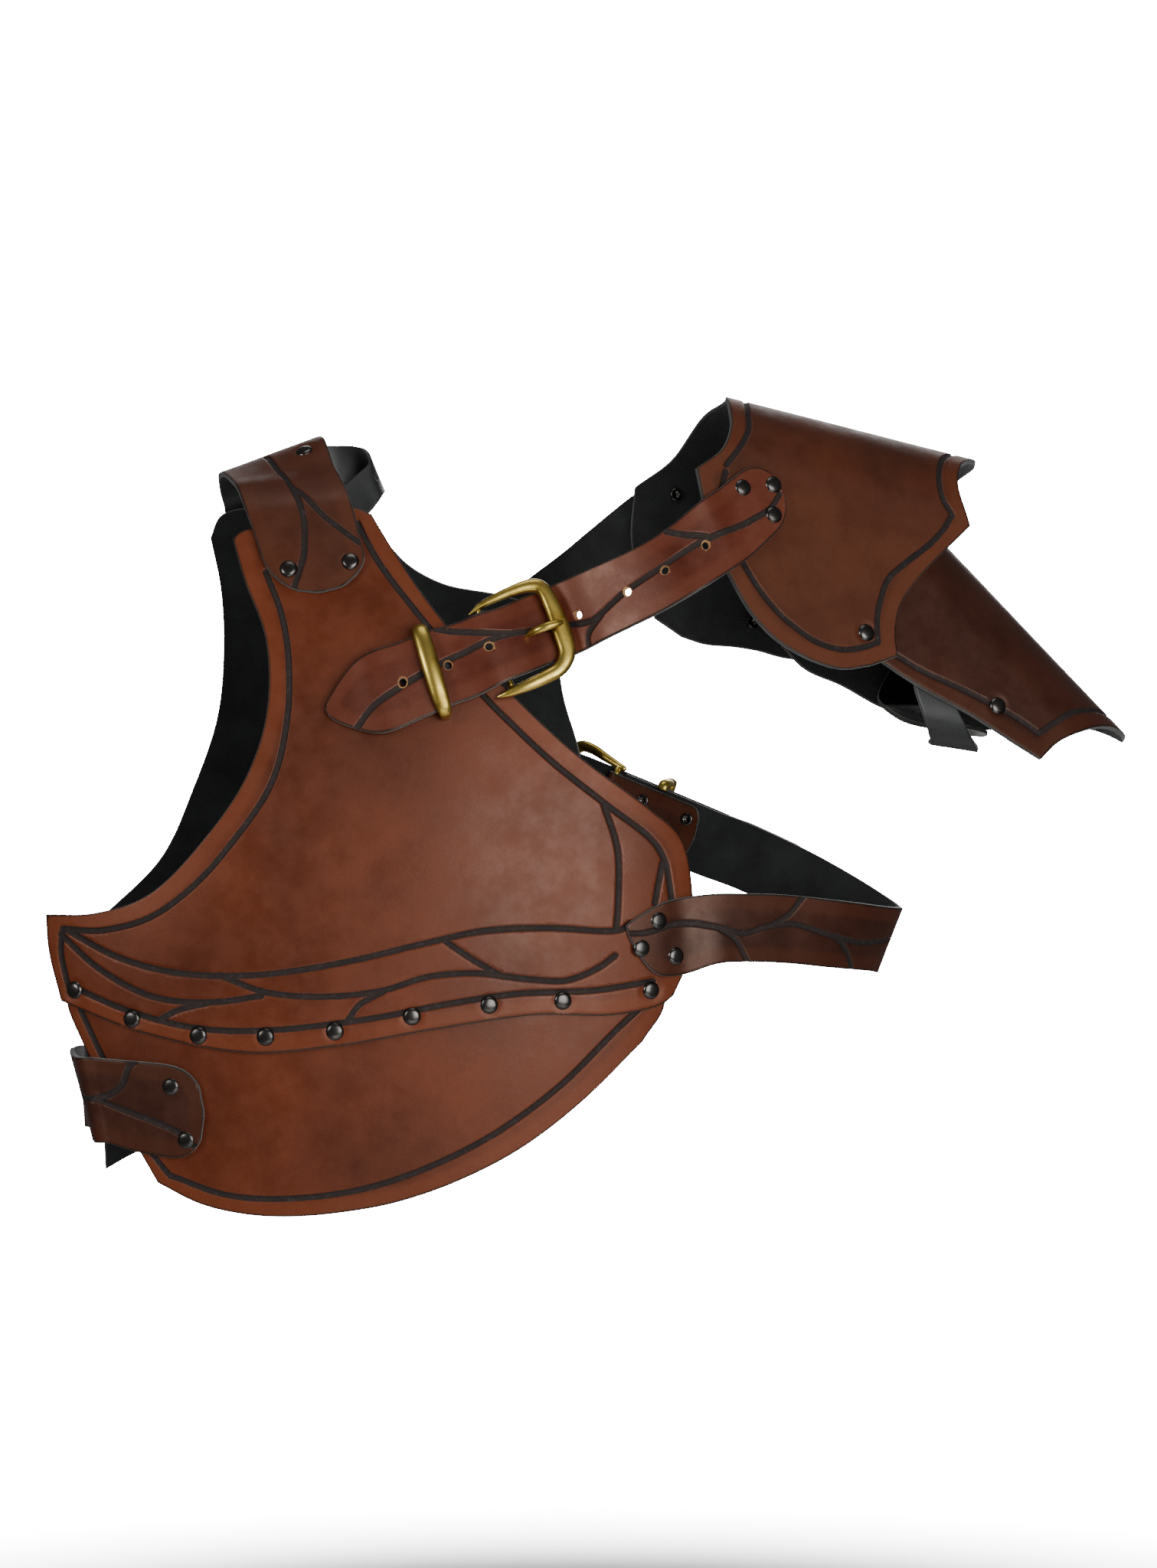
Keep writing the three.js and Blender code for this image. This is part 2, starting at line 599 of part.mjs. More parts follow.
// The brass prong goes up through a hole in the strap and rests on the buckle's far side.
add("chest_prong", barOn(front, table("across up lift wide high", [
  [130.8, -105, MIDDLE_BAR.lift, 1.3, 1.2],
  [138, -102.5, MIDDLE_BAR.lift - 0.4, 1.4, 1.3],
  [142.5, -101, MIDDLE_BAR.lift + 1.2, 1.5, 1.4],
  [145, -100, MIDDLE_BAR.lift + 5, 1.7, 1.6],
  [148, -99.2, MIDDLE_BAR.lift + 8.4, 2, 1.8],
  [152.5, -97.8, MIDDLE_BAR.lift + 10.4, 2.2, 1.8],
  [157, -96.4, MIDDLE_BAR.lift + 10.6, 2.1, 1.7],
  [160.5, -95.4, MIDDLE_BAR.lift + 10.2, 1.4, 1.2],
]), 8), COLOURS.brass);

// The tab that holds the buckle: thin leather folded round the middle bar
const FOLD = { radius: MIDDLE_BAR.radius + LAYER_GAP, middle: MIDDLE_BAR.lift };
function tabStations() {
  const eye = table("across up", [[125.5, -105]])[0];
  const way = { across: -0.92, up: -0.4 };
  const half = { across: 7.2, up: -16.6 };
  const rows = [];
  const row = (distance, lift) => rows.push([
    eye.across + way.across * distance - half.across, eye.up + way.up * distance - half.up,
    eye.across + way.across * distance + half.across, eye.up + way.up * distance + half.up, lift,
  ]);
  const low = ON_PLATE + THIN_LEATHER;
  row(52, low);
  row(34, low);
  row(18, low);
  for (let turn = -90; turn <= 90; turn += 45) {
    const angle = radians(turn);
    row(-FOLD.radius * Math.cos(angle), FOLD.middle + FOLD.radius * Math.sin(angle));
  }
  row(18, low + SEAM_GAP);
  row(34, low + SEAM_GAP);
  return onSurface(front, rows);
}
add("chest_buckle_tab", strap(tabStations(), { facing: 1, thickness: THIN_LEATHER, across: 2, spacing: 0 }),
  COLOURS.black);

// Brass keeper: a staple over the strap, with a foot at each of its edges
add("chest_keeper", barOn(front, table("across up lift wide high", [
  [85.5, -96.1, ON_PLATE + 1.2, 2.6, 1.2],
  [85.9, -97, ON_PLATE + 8, 3.6, 1.5],
  [88, -103, ON_PLATE + 10.8, 4.4, 2.1],
  [92.7, -119, ON_PLATE + 11.6, 4.8, 2.6],
  [97.6, -134.4, ON_PLATE + 10.8, 4.4, 2.1],
  [100.4, -142.2, ON_PLATE + 8, 3.6, 1.5],
  [100.8, -143.4, ON_PLATE + 1.2, 2.6, 1.2],
]), 8), COLOURS.brass);

// Shoulder plate: the upper lame
const UPPER_LAME = {
  left: outlineTable([
    [78, -175.5], [62, -181], [45, -180.5], [22, -173.5], [6, -162], [-9, -143.5], [-22, -122], [-34, -88, 1],
    [-20, -73], [-15, -57], [-14, -43], [-10, -22], [-4, -2], [-7, 14], [-13, 46], [-31, 67, 1], [-29, 101],
    [-11, 140, 1], [6, 147],
  ]),
  right: outlineTable([
    [93.5, -166.5], [91, -155], [91.6, -140], [100, -122], [130, -82, 1], [122, -60], [127, -41], [146, -14],
    [150.5, 0], [146, 24], [134, 60], [120, 98], [98, 128], [84, 143],
  ]),
  bottom: outlineTable([[86, -171]]),
  top: outlineTable([[20, 148], [38, 145.5], [52, 144.5], [68, 145]]),
};
const mountedLeather = [-HALF, HALF];
add("pauldron_upper", pierce(panel(upperLame, UPPER_LAME, 7, 28, ...mountedLeather),
  holes("chest_rivet", "neck_rivet_lame", "lame_rivet")), COLOURS.chestnut);

const LOWER_LAME = {
  left: outlineTable([
    [8, -128], [-12, -104], [-24, -70], [-30, -20], [-30, 20], [-24, 70], [-4, 100], [2, 111],
  ]),
  right: outlineTable([
    [138.5, -93.5], [139.5, -78], [147, -58], [157, -40], [168, -23], [172.5, -11, 1], [158, 5], [148, 18], [136, 34],
    [126, 47],
  ]),
  bottom: outlineTable([[39, -123], [62, -117], [95, -105.5], [123, -98]]),
  top: outlineTable([[21, 110.5], [42, 101], [67, 92], [98, 74], [114, 60]]),
};
add("pauldron_lower", pierce(panel(lowerLame, LOWER_LAME, 10, 18, ...mountedLeather),
  holes("lame_rivet", "arm_rivet")), COLOURS.darkBrown);

// Where the side strap meets its buckle: along it from the hinge bar, across it downwards, and out from the body
const SIDE_BUCKLE = {
  origin: new THREE.Vector3(193.5, 84.3, -190),
  along: new THREE.Vector3(0.89, -0.259, -0.373).normalize(),
  across: new THREE.Vector3(-0.188, 0.081, -0.979).normalize(),
};
SIDE_BUCKLE.out = SIDE_BUCKLE.along.clone().cross(SIDE_BUCKLE.across).normalize();
SIDE_BUCKLE.across = SIDE_BUCKLE.out.clone().cross(SIDE_BUCKLE.along);

function sidePlace(along, across, out) {
  const place = SIDE_BUCKLE.origin.clone().addScaledVector(SIDE_BUCKLE.along, along);
  return place.addScaledVector(SIDE_BUCKLE.across, across).addScaledVector(SIDE_BUCKLE.out, out);
}

function sideRows(halfWidth, rows) {
  return table("along out", rows).map((row) => (share) =>
    sidePlace(row.along, mix(-halfWidth, halfWidth, share), row.out));
}

// Left side strap: riveted on the front plate, out to a fold at the flank and back towards the back plate
const sideStations = [
  ...onSurface(front, [
    [198, -247, 194, -261, ON_PLATE],
    [206, -244, 203, -274, ON_PLATE],
    [215, -241.5, 213, -281, ON_PLATE],
    [226, -239, 227, -280.5, ON_PLATE],
  ]),
  ...inSpace([
    [245, -74, -237, 246, -73, -275.5],
    [261, -67, -237, 259, -66, -274.5],
    [285, -54, -238, 282, -53, -275.5],
    [320, -34, -242, 310, -33, -278.5],
    [341, -12, -245, 328, -12, -280.5],
    [348, -1, -245.5, 334, -1, -281.5],
    [349, 8, -245, 335, 8, -282],
    [343, 18, -240.5, 332, 20, -278.5],
    [325, 33, -229, 316, 36, -266],
    [300, 47, -215, 292, 50, -252],
    [270, 60, -201, 262, 63, -238],
  ]),
  ...sideRows(BELT_WIDTH / 2, [[60, 0], [48, 0], [26, 0], [-1, 0]]),
];

const sideHinge = { along: -7, radius: MIDDLE_BAR.radius, out: 1.8 };
const sideFold = [-90, -45, 0, 45, 90].map((turn) => [
  sideHinge.along - FOLD.radius * Math.cos(radians(turn)), sideHinge.out + FOLD.radius * Math.sin(radians(turn)),
]);
const TAB = { start: 1, end: 50 };
const sideTabStations = sideRows(BELT_WIDTH / 2 - 2, [
  [TAB.end, -SEAM_GAP], [TAB.end / 2, -SEAM_GAP], [TAB.start, -SEAM_GAP], ...sideFold, [TAB.start, LEATHER + SEAM_GAP],
  [TAB.end / 2, LEATHER + SEAM_GAP], [TAB.end, LEATHER + SEAM_GAP],
]);
RIVETS.side_tab_rivet = [[14, -8.5], [42, -8.5]].map(([along, over]) => ({
  point: sidePlace(along, over, LEATHER + SEAM_GAP + THIN_LEATHER),
  direction: SIDE_BUCKLE.out.clone(),
  grip: LEATHER + 2 * (SEAM_GAP + THIN_LEATHER),
  dome: 0.9,
}));

const sidePieces = [
  ["side_strap_left", strap(sideStations, { facing: -1, spacing: 13, across: 3, startRound: 24 }), COLOURS.darkBrown,
    ["side_rivet_front", "side_tab_rivet"]],
  ["side_buckle_tab", strap(sideTabStations, { facing: 1, thickness: THIN_LEATHER, across: 2, spacing: 0 }),
    COLOURS.darkBrown, ["side_tab_rivet"]],
];
for (const [name, geometry, finish, rivets] of sidePieces) add(name, pierce(geometry, holes(...rivets)), finish);

// Bars of the side buckle, its prong and its keeper, in the same place
function sideBar(rows, sides = 8) {
  const places = table("along over out wide high", rows);
  const points = places.map((row) => sidePlace(row.along, row.over, row.out));
  return bar(points, points.map(() => SIDE_BUCKLE.out), places, sides);
}

const FAR_BAR = { along: -38, out: 10.7 };
const buckleArm = [
  [-3, -20.7, 1.6, 1.5, 1.5], [-9, -21.3, 3, 2.1, 2], [-18, -22.3, 5.8, 2.6, 2.3], [-27, -23.4, 8.6, 3, 2.4],
  [-34.5, -22, 10.2, 3.4, 2.4], [FAR_BAR.along, -15, FAR_BAR.out, 3.7, 2.4],
];
const otherArm = buckleArm.map(([along, over, ...rest]) => [along, -over, ...rest]).toReversed();
add("side_buckle", joined(
  sideBar([...buckleArm, ...otherArm]),
  sideBar([[sideHinge.along, -21, sideHinge.out, 1.8, 1.8], [sideHinge.along, 21, sideHinge.out, 1.8, 1.8]]),
), COLOURS.brass);
const KEEPER_ALONG = 22.5;
add("side_keeper", sideBar([
  [-18.9, -3.4, 3, 1.8], [-21.8, -1.6, 3.1, 2], [-22.5, 2, 3.1, 2.2], [-22.5, 9, 3.2, 2.2], [-19, 13.3, 3.3, 2.2],
  [19, 13.3, 3.3, 2.2], [22.5, 9, 3.2, 2.2], [22.5, 2, 3.1, 2.2], [21.8, -1.6, 3.1, 2], [18.9, -3.4, 3, 1.8],
].map((row) => [KEEPER_ALONG, ...row])), COLOURS.brass);
add("side_prong", sideBar([
  [-12.5, 0, sideHinge.out, 1.3, 1.2], [-19, 0, 2, 1.4, 1.3], [-23, 0, 4.5, 1.5, 1.4], [-26, 0, 9, 1.6, 1.5],
  [-31, 0, 13.8, 1.6, 1.5], [FAR_BAR.along, 0, 15.3, 1.7, 1.5], [-42, 0, 14.6, 1.2, 1.1],
]), COLOURS.brass);

// Black strap from the back plate, through the side buckle, its tail lying on the side strap
function liftedStations(stations, lift) {
  return stations.map((station, k) => (share) => {
    const along = stations[Math.min(k + 1, stations.length - 1)](share).sub(stations[Math.max(k - 1, 0)](share));
    const over = station(Math.min(share + 0.1, 1)).sub(station(Math.max(share - 0.1, 0)));
    return station(share).addScaledVector(along.cross(over).normalize(), -lift);
  });
}

const sideBackStations = [
  ...onSurface(back, [
    [101, -137, 111, -172, ON_PLATE],
    [120, -141, 131, -176, ON_PLATE + 0.2],
    [140, -146, 151, -181, ON_PLATE + 1],
  ]),
  ...sideRows(BELT_WIDTH / 2, [[-36, 4.2], [-27, 4.6], [-17, 5.2], [-7, 6.4], [5, 7], [30, 7], [50, 6.8], [66, 5.6]]),
  ...liftedStations(sideStations, LEATHER + 2 * LAYER_GAP).slice(-6, -4).toReversed(),
];
add("side_strap_back", pierce(strap(sideBackStations, { facing: 1, spacing: 13, across: 2, startRound: 20, endRound: 8 }), [
  ...holes("side_rivet_back"), drill(sidePlace(-23.5, 0, 6), SIDE_BUCKLE.out, 4.6, 14),
]), COLOURS.black);

// Right low strap, round the right flank from the belly plate to the back plate
const ON_BELLY = UNDER_PLATE + LEATHER + LAYER_GAP;
const lowStations = [
  ...onSurface(front, [
    [-29, -331, -28, -378, ON_BELLY],
    [-45, -328.5, -42, -379, ON_BELLY],
    [-60, -327, -56, -377.5, ON_BELLY],
    [-75, -326, -69, -375, ON_BELLY + 0.3],
    [-87, -325, -79, -372, ON_BELLY + 1],
    [-96, -324.5, -86, -371, ON_BELLY + 1.6],
  ]),
  ...inSpace([
    [-102, -54, -323, -90, -52, -368],
    [-104, -28, -322, -93, -26, -368],
    [-105, 0, -323, -95, 2, -369],
    [-107, 30, -324, -99, 30, -370],
  ]),
  ...onSurface(back, [
    [-104, -325, -101, -371, ON_PLATE + 1.6],
    [-94, -326, -91, -372, ON_PLATE + 1],
    [-82, -327, -79, -373, ON_PLATE + 0.2],
    [-68, -327.5, -67, -373.5, ON_PLATE],
    [-54, -328, -55, -374, ON_PLATE],
  ]),
];
add("side_strap_right", pierce(strap(lowStations, { facing: 1, spacing: 13, across: 3, startRound: 14, endRound: 14 }),
  holes("low_rivet_front", "low_rivet_back")), COLOURS.darkBrown);

// Black strap from the back of the shoulder plate down to the back plate
const neckStations = [
  ...onSurface(back, [
    [109, -90, 127, -114, ON_PLATE],
    [122, -80, 140, -104, ON_PLATE],
    [133, -71.5, 151, -95, ON_PLATE],
    [144, -63, 162, -87, ON_PLATE + 0.5],
  ]),
  ...inSpace([
    [160, 51, -50, 177, 56, -75],
    [174, 33, -39, 190, 36, -66],
    [187, 15, -29, 203, 16, -56],
  ]),
  ...onSurface(upperLame, [
    [-36, 76, -15, 98, HALF + LAYER_GAP + 1.6],
    [-26, 66, -4, 86, HALF + LAYER_GAP + 0.7],
    [-16, 54, 6, 76, HALF + LAYER_GAP + 0.4],
    [-6, 44, 14, 66, HALF + LAYER_GAP + 0.4],
  ]),
];
add("neck_strap", pierce(strap(neckStations, { facing: 1, spacing: 11, across: 3, startRound: 12, endRound: 12 }),
  holes("neck_rivet_back", "neck_rivet_lame")), COLOURS.black);

// Arm strap: a loop from the front of the lower lame and a holed end from its back, meeting under the arm
const ARM_LEATHER = 2.5;
const INSIDE_LAME = LAME_LOWER_RADIUS - HALF - LAYER_GAP - ARM_LEATHER;
function underArm(rows) {
  return table("rearward alongA downA alongB downB", rows).map((row) => (share) => lamePlace(FRAMES.lower,
    row.alongA + (row.alongB - row.alongA) * share, row.rearward, row.downA + (row.downB - row.downA) * share));
}

const armLoop = underArm([
  [-INSIDE_LAME, 50, 76, 75.5, 65.5],
  [-INSIDE_LAME, 59.4, 90.8, 85, 80.3],
  [-38, 72.4, 97.4, 95.6, 83.3],
  [-33, 81.9, 99.1, 104.3, 82.5],
  [-24, 88.5, 96.5, 110.7, 78.2],
  [-12, 91.7, 90.6, 114.1, 72.2],
  [-3, 92.8, 85.8, 115.3, 67.4],
  [5, 92.5, 81.6, 115, 63.1],
]);
const armBack = underArm([
  [INSIDE_LAME - 0.6, 56, 50, 85, 38.1],
  [INSIDE_LAME - 1.8, 57.5, 59, 86.2, 46.8],
  [35, 60.7, 68.5, 87.4, 54.5],
  [27, 66.5, 73.9, 91.7, 58.2],
  [15, 74.9, 78.1, 98.9, 60.8],
  [3, 82.1, 79.6, 105.5, 61.4],
  [-10, 87.9, 80.3, 111, 61.9],
  [-20, 90.6, 79.5, 113, 61.1],
]);
add("arm_loop", strap(armLoop, { facing: 1, thickness: ARM_LEATHER, across: 2, spacing: 9 }), COLOURS.black);
add("arm_strap", strap(armBack, { facing: -1, thickness: ARM_LEATHER, across: 2, spacing: 9, endRound: 10 }), COLOURS.black);

for (const [prefix, rivets] of Object.entries(RIVETS)) {
  rivets.forEach((rivet, k) => add(`${prefix}_${k + 1}`, rivetGeometry(rivet), COLOURS.gunmetal));
}

export default armour;
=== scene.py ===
# Leather chest armour with one shoulder plate, worn by no one.
# Each leather piece is cut and tooled flat in millimetres, as its maker does it, and is then formed
# over the figure's shape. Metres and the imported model's frame apply once a piece is formed.
import math

import bmesh
import bpy
import numpy as np
from mathutils import Matrix, Vector, kdtree


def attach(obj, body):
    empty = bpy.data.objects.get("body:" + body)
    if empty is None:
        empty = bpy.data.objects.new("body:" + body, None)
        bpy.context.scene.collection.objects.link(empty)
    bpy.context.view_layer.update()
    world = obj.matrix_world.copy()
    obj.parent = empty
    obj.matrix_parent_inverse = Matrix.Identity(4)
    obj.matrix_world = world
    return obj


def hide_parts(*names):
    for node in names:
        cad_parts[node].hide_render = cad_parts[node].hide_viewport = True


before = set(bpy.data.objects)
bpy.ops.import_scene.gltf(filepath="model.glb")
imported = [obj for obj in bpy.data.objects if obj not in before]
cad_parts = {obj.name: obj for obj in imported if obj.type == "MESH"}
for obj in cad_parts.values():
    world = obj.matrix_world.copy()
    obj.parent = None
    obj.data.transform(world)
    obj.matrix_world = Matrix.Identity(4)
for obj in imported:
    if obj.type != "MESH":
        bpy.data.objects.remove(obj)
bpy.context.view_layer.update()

MM = 0.001
LEATHER = 3.0
LAYER_GAP = 0.5
THIN_LEATHER = 1.6
SEAM_GAP = 0.3
ON_PLATE = LEATHER + LAYER_GAP
HALF = LEATHER / 2
BELT = 38.0
ARM_LEATHER = 2.5

# Camera: level with the belly seam's upper third, three metres away, with the photograph's upright frame.
PHOTO_HEIGHT_RATIO = 0.28954
SENSOR = 36.0
camera_data = bpy.data.cameras.new("camera")
camera_data.sensor_fit = "VERTICAL"
camera_data.sensor_height = SENSOR
camera_data.lens = SENSOR / PHOTO_HEIGHT_RATIO
camera = bpy.data.objects.new("camera", camera_data)
camera.location = (0.172, -3.0, -0.178)
camera.rotation_euler = (math.pi / 2, 0, 0)
bpy.context.scene.collection.objects.link(camera)
bpy.context.scene.camera = camera


# Materials

def linear(hex_colour):
    parts = [int(hex_colour[k:k + 2], 16) / 255 for k in (1, 3, 5)]
    return [p / 12.92 if p <= 0.04045 else ((p + 0.055) / 1.055) ** 2.4 for p in parts] + [1.0]


def add_node(tree, kind, inputs=(), stops=(), **settings):
    """One node with its own settings. Its inputs, in their order or by name, take values or other nodes'
    outputs, and stops are a colour ramp's places and colours."""
    node = tree.nodes.new(kind)
    for key, value in settings.items():
        setattr(node, key, value)
    for key, value in inputs.items() if isinstance(inputs, dict) else enumerate(inputs):
        if isinstance(value, bpy.types.NodeSocket):
            tree.links.new(value, node.inputs[key])
        else:
            node.inputs[key].default_value = value
    if stops:
        elements = node.color_ramp.elements
        for _ in stops[2:]:
            elements.new(0.5)
        for element, (position, colour) in zip(elements, stops):
            element.position, element.color = position, linear(colour)
    return node


def new_material(name):
    material = bpy.data.materials.new(name)
    material.use_nodes = True
    tree = material.node_tree
    shader = tree.nodes["Principled BSDF"]
    return material, tree, shader


GROOVE_DYE, WORN_GROOVE, EDGE_DYE = "#16171a", "#2d2e30", "#15110f"
# The colour sockets of a Mix node: its share, first and second colour, and its result
SHARE, FIRST, SECOND, RESULT = 0, 6, 7, 2
SMOOTH = "SMOOTHSTEP"
HIDE_NOISES = [
    # scale, detail, roughness
    (14.0, 4.0, 0.55),  # patches
    (70.0, 5.0, 0.62),  # streaks
    (620.0, 3.0, 0.6),  # specks
    (900.0, 2.0, 0.5),  # the dye's wandering edge
    (400.0, 4.0, 0.7),  # scuffs in the grooves
    (170.0, 5.0, 0.55),  # wrinkles
]


def tooled_leather(name, dark, middle, light, shine, border):
    """Vegetable-tanned cowhide, hand dyed and waxed: uneven tone, fine pores and a satin gloss.
    Its tooled lines are painted with black edge dye, which sinks in and goes matt."""
    material, tree, shader = new_material(name)
    place = add_node(tree, "ShaderNodeTexCoord").outputs["Object"]
    patches, streaks, specks, wander, scuffs, wrinkles = (
        add_node(tree, "ShaderNodeTexNoise", {
            "Vector": place, "Scale": scale, "Detail": detail, "Roughness": roughness,
        }).outputs["Fac"] for scale, detail, roughness in HIDE_NOISES
    )
    rim, line_gap = (add_node(tree, "ShaderNodeAttribute", attribute_name=key).outputs["Fac"]
                     for key in ("rim_gap", "line_gap"))
    broad = add_node(tree, "ShaderNodeMath", (patches, 0.75), operation="MULTIPLY").outputs[0]
    narrow = add_node(tree, "ShaderNodeMath", (streaks, 0.25), operation="MULTIPLY").outputs[0]
    mottling = add_node(tree, "ShaderNodeMath", (broad, narrow), operation="ADD").outputs[0]
    tone = add_node(tree, "ShaderNodeValToRGB", (mottling,), [(0.3, dark), (0.5, middle),
    (0.7, light)]).outputs[0]
    # Dark specks, then the hide rubbed paler outside its border lines, then the edge's dye on the corner
    for value, begin, finish, low, high, colour in (
        (specks, 0.62, 0.78, 0.0, 0.2, dark),
        (rim, 6.0, 10.5, 0.6, 0.0, border),
        (rim, 0.4, 1.7, 0.92, 0.0, EDGE_DYE),
    ):
        share = add_node(tree, "ShaderNodeMapRange",
        (value, begin, finish, low, high), interpolation_type=SMOOTH)
        layers = {SHARE: share.outputs[0], FIRST: tone, SECOND: linear(colour)}
        tone = add_node(tree, "ShaderNodeMix", layers, data_type="RGBA").outputs[RESULT]
    centred = add_node(tree, "ShaderNodeMath", (wander, 0.5), operation="SUBTRACT").outputs[0]
    spread = add_node(tree, "ShaderNodeMath", (centred, 0.9), operation="MULTIPLY").outputs[0]
    drawn = add_node(tree, "ShaderNodeMath", (line_gap, spread), operation="ADD").outputs[0]
    dye = add_node(tree, "ShaderNodeMapRange",
    (drawn, 1.35, 1.95, 1.0, 0.0), interpolation_type=SMOOTH).outputs[0]
    wear_and_painted_reflection = add_node(tree, "ShaderNodeMapRange",
    (scuffs, 0.52, 0.75, 0.0, 1.0), interpolation_type=SMOOTH).outputs[0]
    layers = {SHARE: wear_and_painted_reflection, FIRST: linear(GROOVE_DYE), SECOND: linear(WORN_GROOVE)}
    groove = add_node(tree, "ShaderNodeMix", layers, data_type="RGBA").outputs[RESULT]
    layers = {SHARE: dye, FIRST: tone, SECOND: groove}
    colour = add_node(tree, "ShaderNodeMix", layers, data_type="RGBA").outputs[RESULT]
    tree.links.new(colour, shader.inputs["Base Color"])
    waxed = add_node(tree, "ShaderNodeMapRange", (streaks, 0.3, 0.7, shine - 0.05, shine + 0.08),
                     interpolation_type=SMOOTH).outputs[0]
    matt = add_node(tree, "ShaderNodeMath", (dye, 0.3), operation="MULTIPLY").outputs[0]
    gloss = add_node(tree, "ShaderNodeMath", (waxed, matt), operation="ADD").outputs[0]
    tree.links.new(gloss, shader.inputs["Roughness"])
    # Pores about 0.9 mm apart and flatter wrinkles about 5 mm apart; real pores are a third of that.
    pores = add_node(tree, "ShaderNodeTexVoronoi", {"Vector": place, "Scale": 1100.0}).outputs["Distance"]
    fine = add_node(tree, "ShaderNodeBump", {"Height": pores, "Strength": 0.14, "Distance": 0.00012})
    bump = add_node(tree, "ShaderNodeBump", {"Height": wrinkles, "Normal": fine.outputs["Normal"],
                                             "Strength": 0.16, "Distance": 0.0004})
    tree.links.new(bump.outputs["Normal"], shader.inputs["Normal"])
    shader.inputs["Specular IOR Level"].default_value = 0.48
    shader.inputs["Specular Tint"].default_value = linear("#ffd8c4")
    return material


def plain_leather(name, dark, light, shine, nap):
    """Black leather: the grain side is smooth, and the flesh side is a short suede nap."""
    material, tree, shader = new_material(name)
    place = add_node(tree, "ShaderNodeTexCoord").outputs["Object"]
    cloudy, fibres = (
        add_node(tree, "ShaderNodeTexNoise", {
            "Vector": place, "Scale": scale, "Detail": 5.0, "Roughness": roughness,
        }).outputs["Fac"] for scale, roughness in ((45.0, 0.6), (1500.0 if nap else 800.0, 0.7))
    )
    tone = add_node(tree, "ShaderNodeValToRGB", (cloudy,), [(0.35, dark), (0.65, light)])
    tree.links.new(tone.outputs[0], shader.inputs["Base Color"])
    gloss = add_node(tree, "ShaderNodeMapRange", (cloudy, 0.3, 0.7, shine - 0.06, shine + 0.06),
                     interpolation_type=SMOOTH)
    tree.links.new(gloss.outputs[0], shader.inputs["Roughness"])
    bump = add_node(tree, "ShaderNodeBump", {"Height": fibres, "Strength": 0.5 if nap else 0.18,
    "Distance": 0.0003})
    tree.links.new(bump.outputs["Normal"], shader.inputs["Normal"])
    if nap:
        shader.inputs["Sheen Weight"].default_value = 0.25
        shader.inputs["Sheen Roughness"].default_value = 0.5
        shader.inputs["Specular IOR Level"].default_value = 0.2
    return material


def leather_with_painted_reflection(name, painted_reflection_below):
    """Black leather with a painted reflection: below a set height, where the strap runs through its loop, it
    is painted a pale grey that stands in for the bright surroundings mirrored in its gloss.
    """
    material, tree, shader = new_material(name)
    place = add_node(tree, "ShaderNodeTexCoord").outputs["Object"]
    height = add_node(tree, "ShaderNodeSeparateXYZ", (place,)).outputs["Z"]
    # Painted reflection: below this height the black turns to pale grey, standing in for the bright
    # surroundings mirrored in the gloss.
    wear_and_painted_reflection = add_node(tree, "ShaderNodeMapRange", (height, painted_reflection_below - 0.001, painted_reflection_below + 0.0015, 1.0, 0.0),
                    interpolation_type=SMOOTH).outputs[0]
    cloudy = add_node(tree, "ShaderNodeTexNoise", {"Vector": place, "Scale": 60.0, "Detail": 4.0,
    "Roughness": 0.6})
    grey = add_node(tree, "ShaderNodeValToRGB", (cloudy.outputs["Fac"],), [(0.3, "#8f918f"), (0.7,
    "#b8bab7")])
    layers = {SHARE: wear_and_painted_reflection, FIRST: linear("#161617"), SECOND: grey.outputs[0]}
    colour = add_node(tree, "ShaderNodeMix", layers, data_type="RGBA").outputs[RESULT]
    tree.links.new(colour, shader.inputs["Base Color"])
    shader.inputs["Roughness"].default_value = 0.35
    return material


def cast_metal(name, dark, light, shine, pitting):
    """Metal that was plated and tumbled: its plating is darker and lighter in soft random clouds."""
    material, tree, shader = new_material(name)
    place = add_node(tree, "ShaderNodeTexCoord").outputs["Object"]
    clouds, pits = (
        add_node(tree, "ShaderNodeTexNoise", {
            "Vector": place, "Scale": scale, "Detail": detail, "Roughness": 0.5,
        }).outputs["Fac"] for scale, detail in ((110.0, 4.0), (400.0, 3.0))
    )
    tone = add_node(tree, "ShaderNodeValToRGB", (clouds,), [(0.3, dark), (0.6, light)])
    tree.links.new(tone.outputs[0], shader.inputs["Base Color"])
    gloss = add_node(tree, "ShaderNodeMapRange", (clouds, 0.3, 0.7, shine + 0.06, shine - 0.03),
                     interpolation_type=SMOOTH)
    tree.links.new(gloss.outputs[0], shader.inputs["Roughness"])
    bump = add_node(tree, "ShaderNodeBump", {"Height": pits, "Strength": pitting, "Distance": 0.0002})
    tree.links.new(bump.outputs["Normal"], shader.inputs["Normal"])
    shader.inputs["Metallic"].default_value = 1.0
    return material


CHESTNUT = tooled_leather("waxed_chestnut_cowhide",
    "#431a0b", "#582511", "#683019", 0.4, "#6c331b")
SHOULDER_CHESTNUT = tooled_leather("waxed_orange_brown_cowhide",
    "#38190c", "#461f0f", "#532814", 0.5, "#5a2b17")
BROAD_STRAP_BROWN = tooled_leather("waxed_walnut_brown_cowhide",
    "#36170c", "#441e10", "#502714", 0.46, "#4b2413")
STRAP_CHESTNUT = tooled_leather("waxed_red_brown_cowhide",
    "#3f190f", "#54261a", "#683829", 0.34, "#613122")
DARK_BROWN = tooled_leather("waxed_dark_brown_cowhide",
    "#26110b", "#341810", "#402015", 0.4, "#442013")
BLACK_GRAIN = plain_leather("black_cowhide_grain_side", "#121213", "#1e1f20", 0.44, nap=False)
BLACK_SUEDE = plain_leather("black_dyed_flesh_side", "#121213", "#222324", 0.85, nap=True)
CUT_EDGE = plain_leather("black_dyed_cut_edge", "#232220", "#454340", 0.75, nap=True)
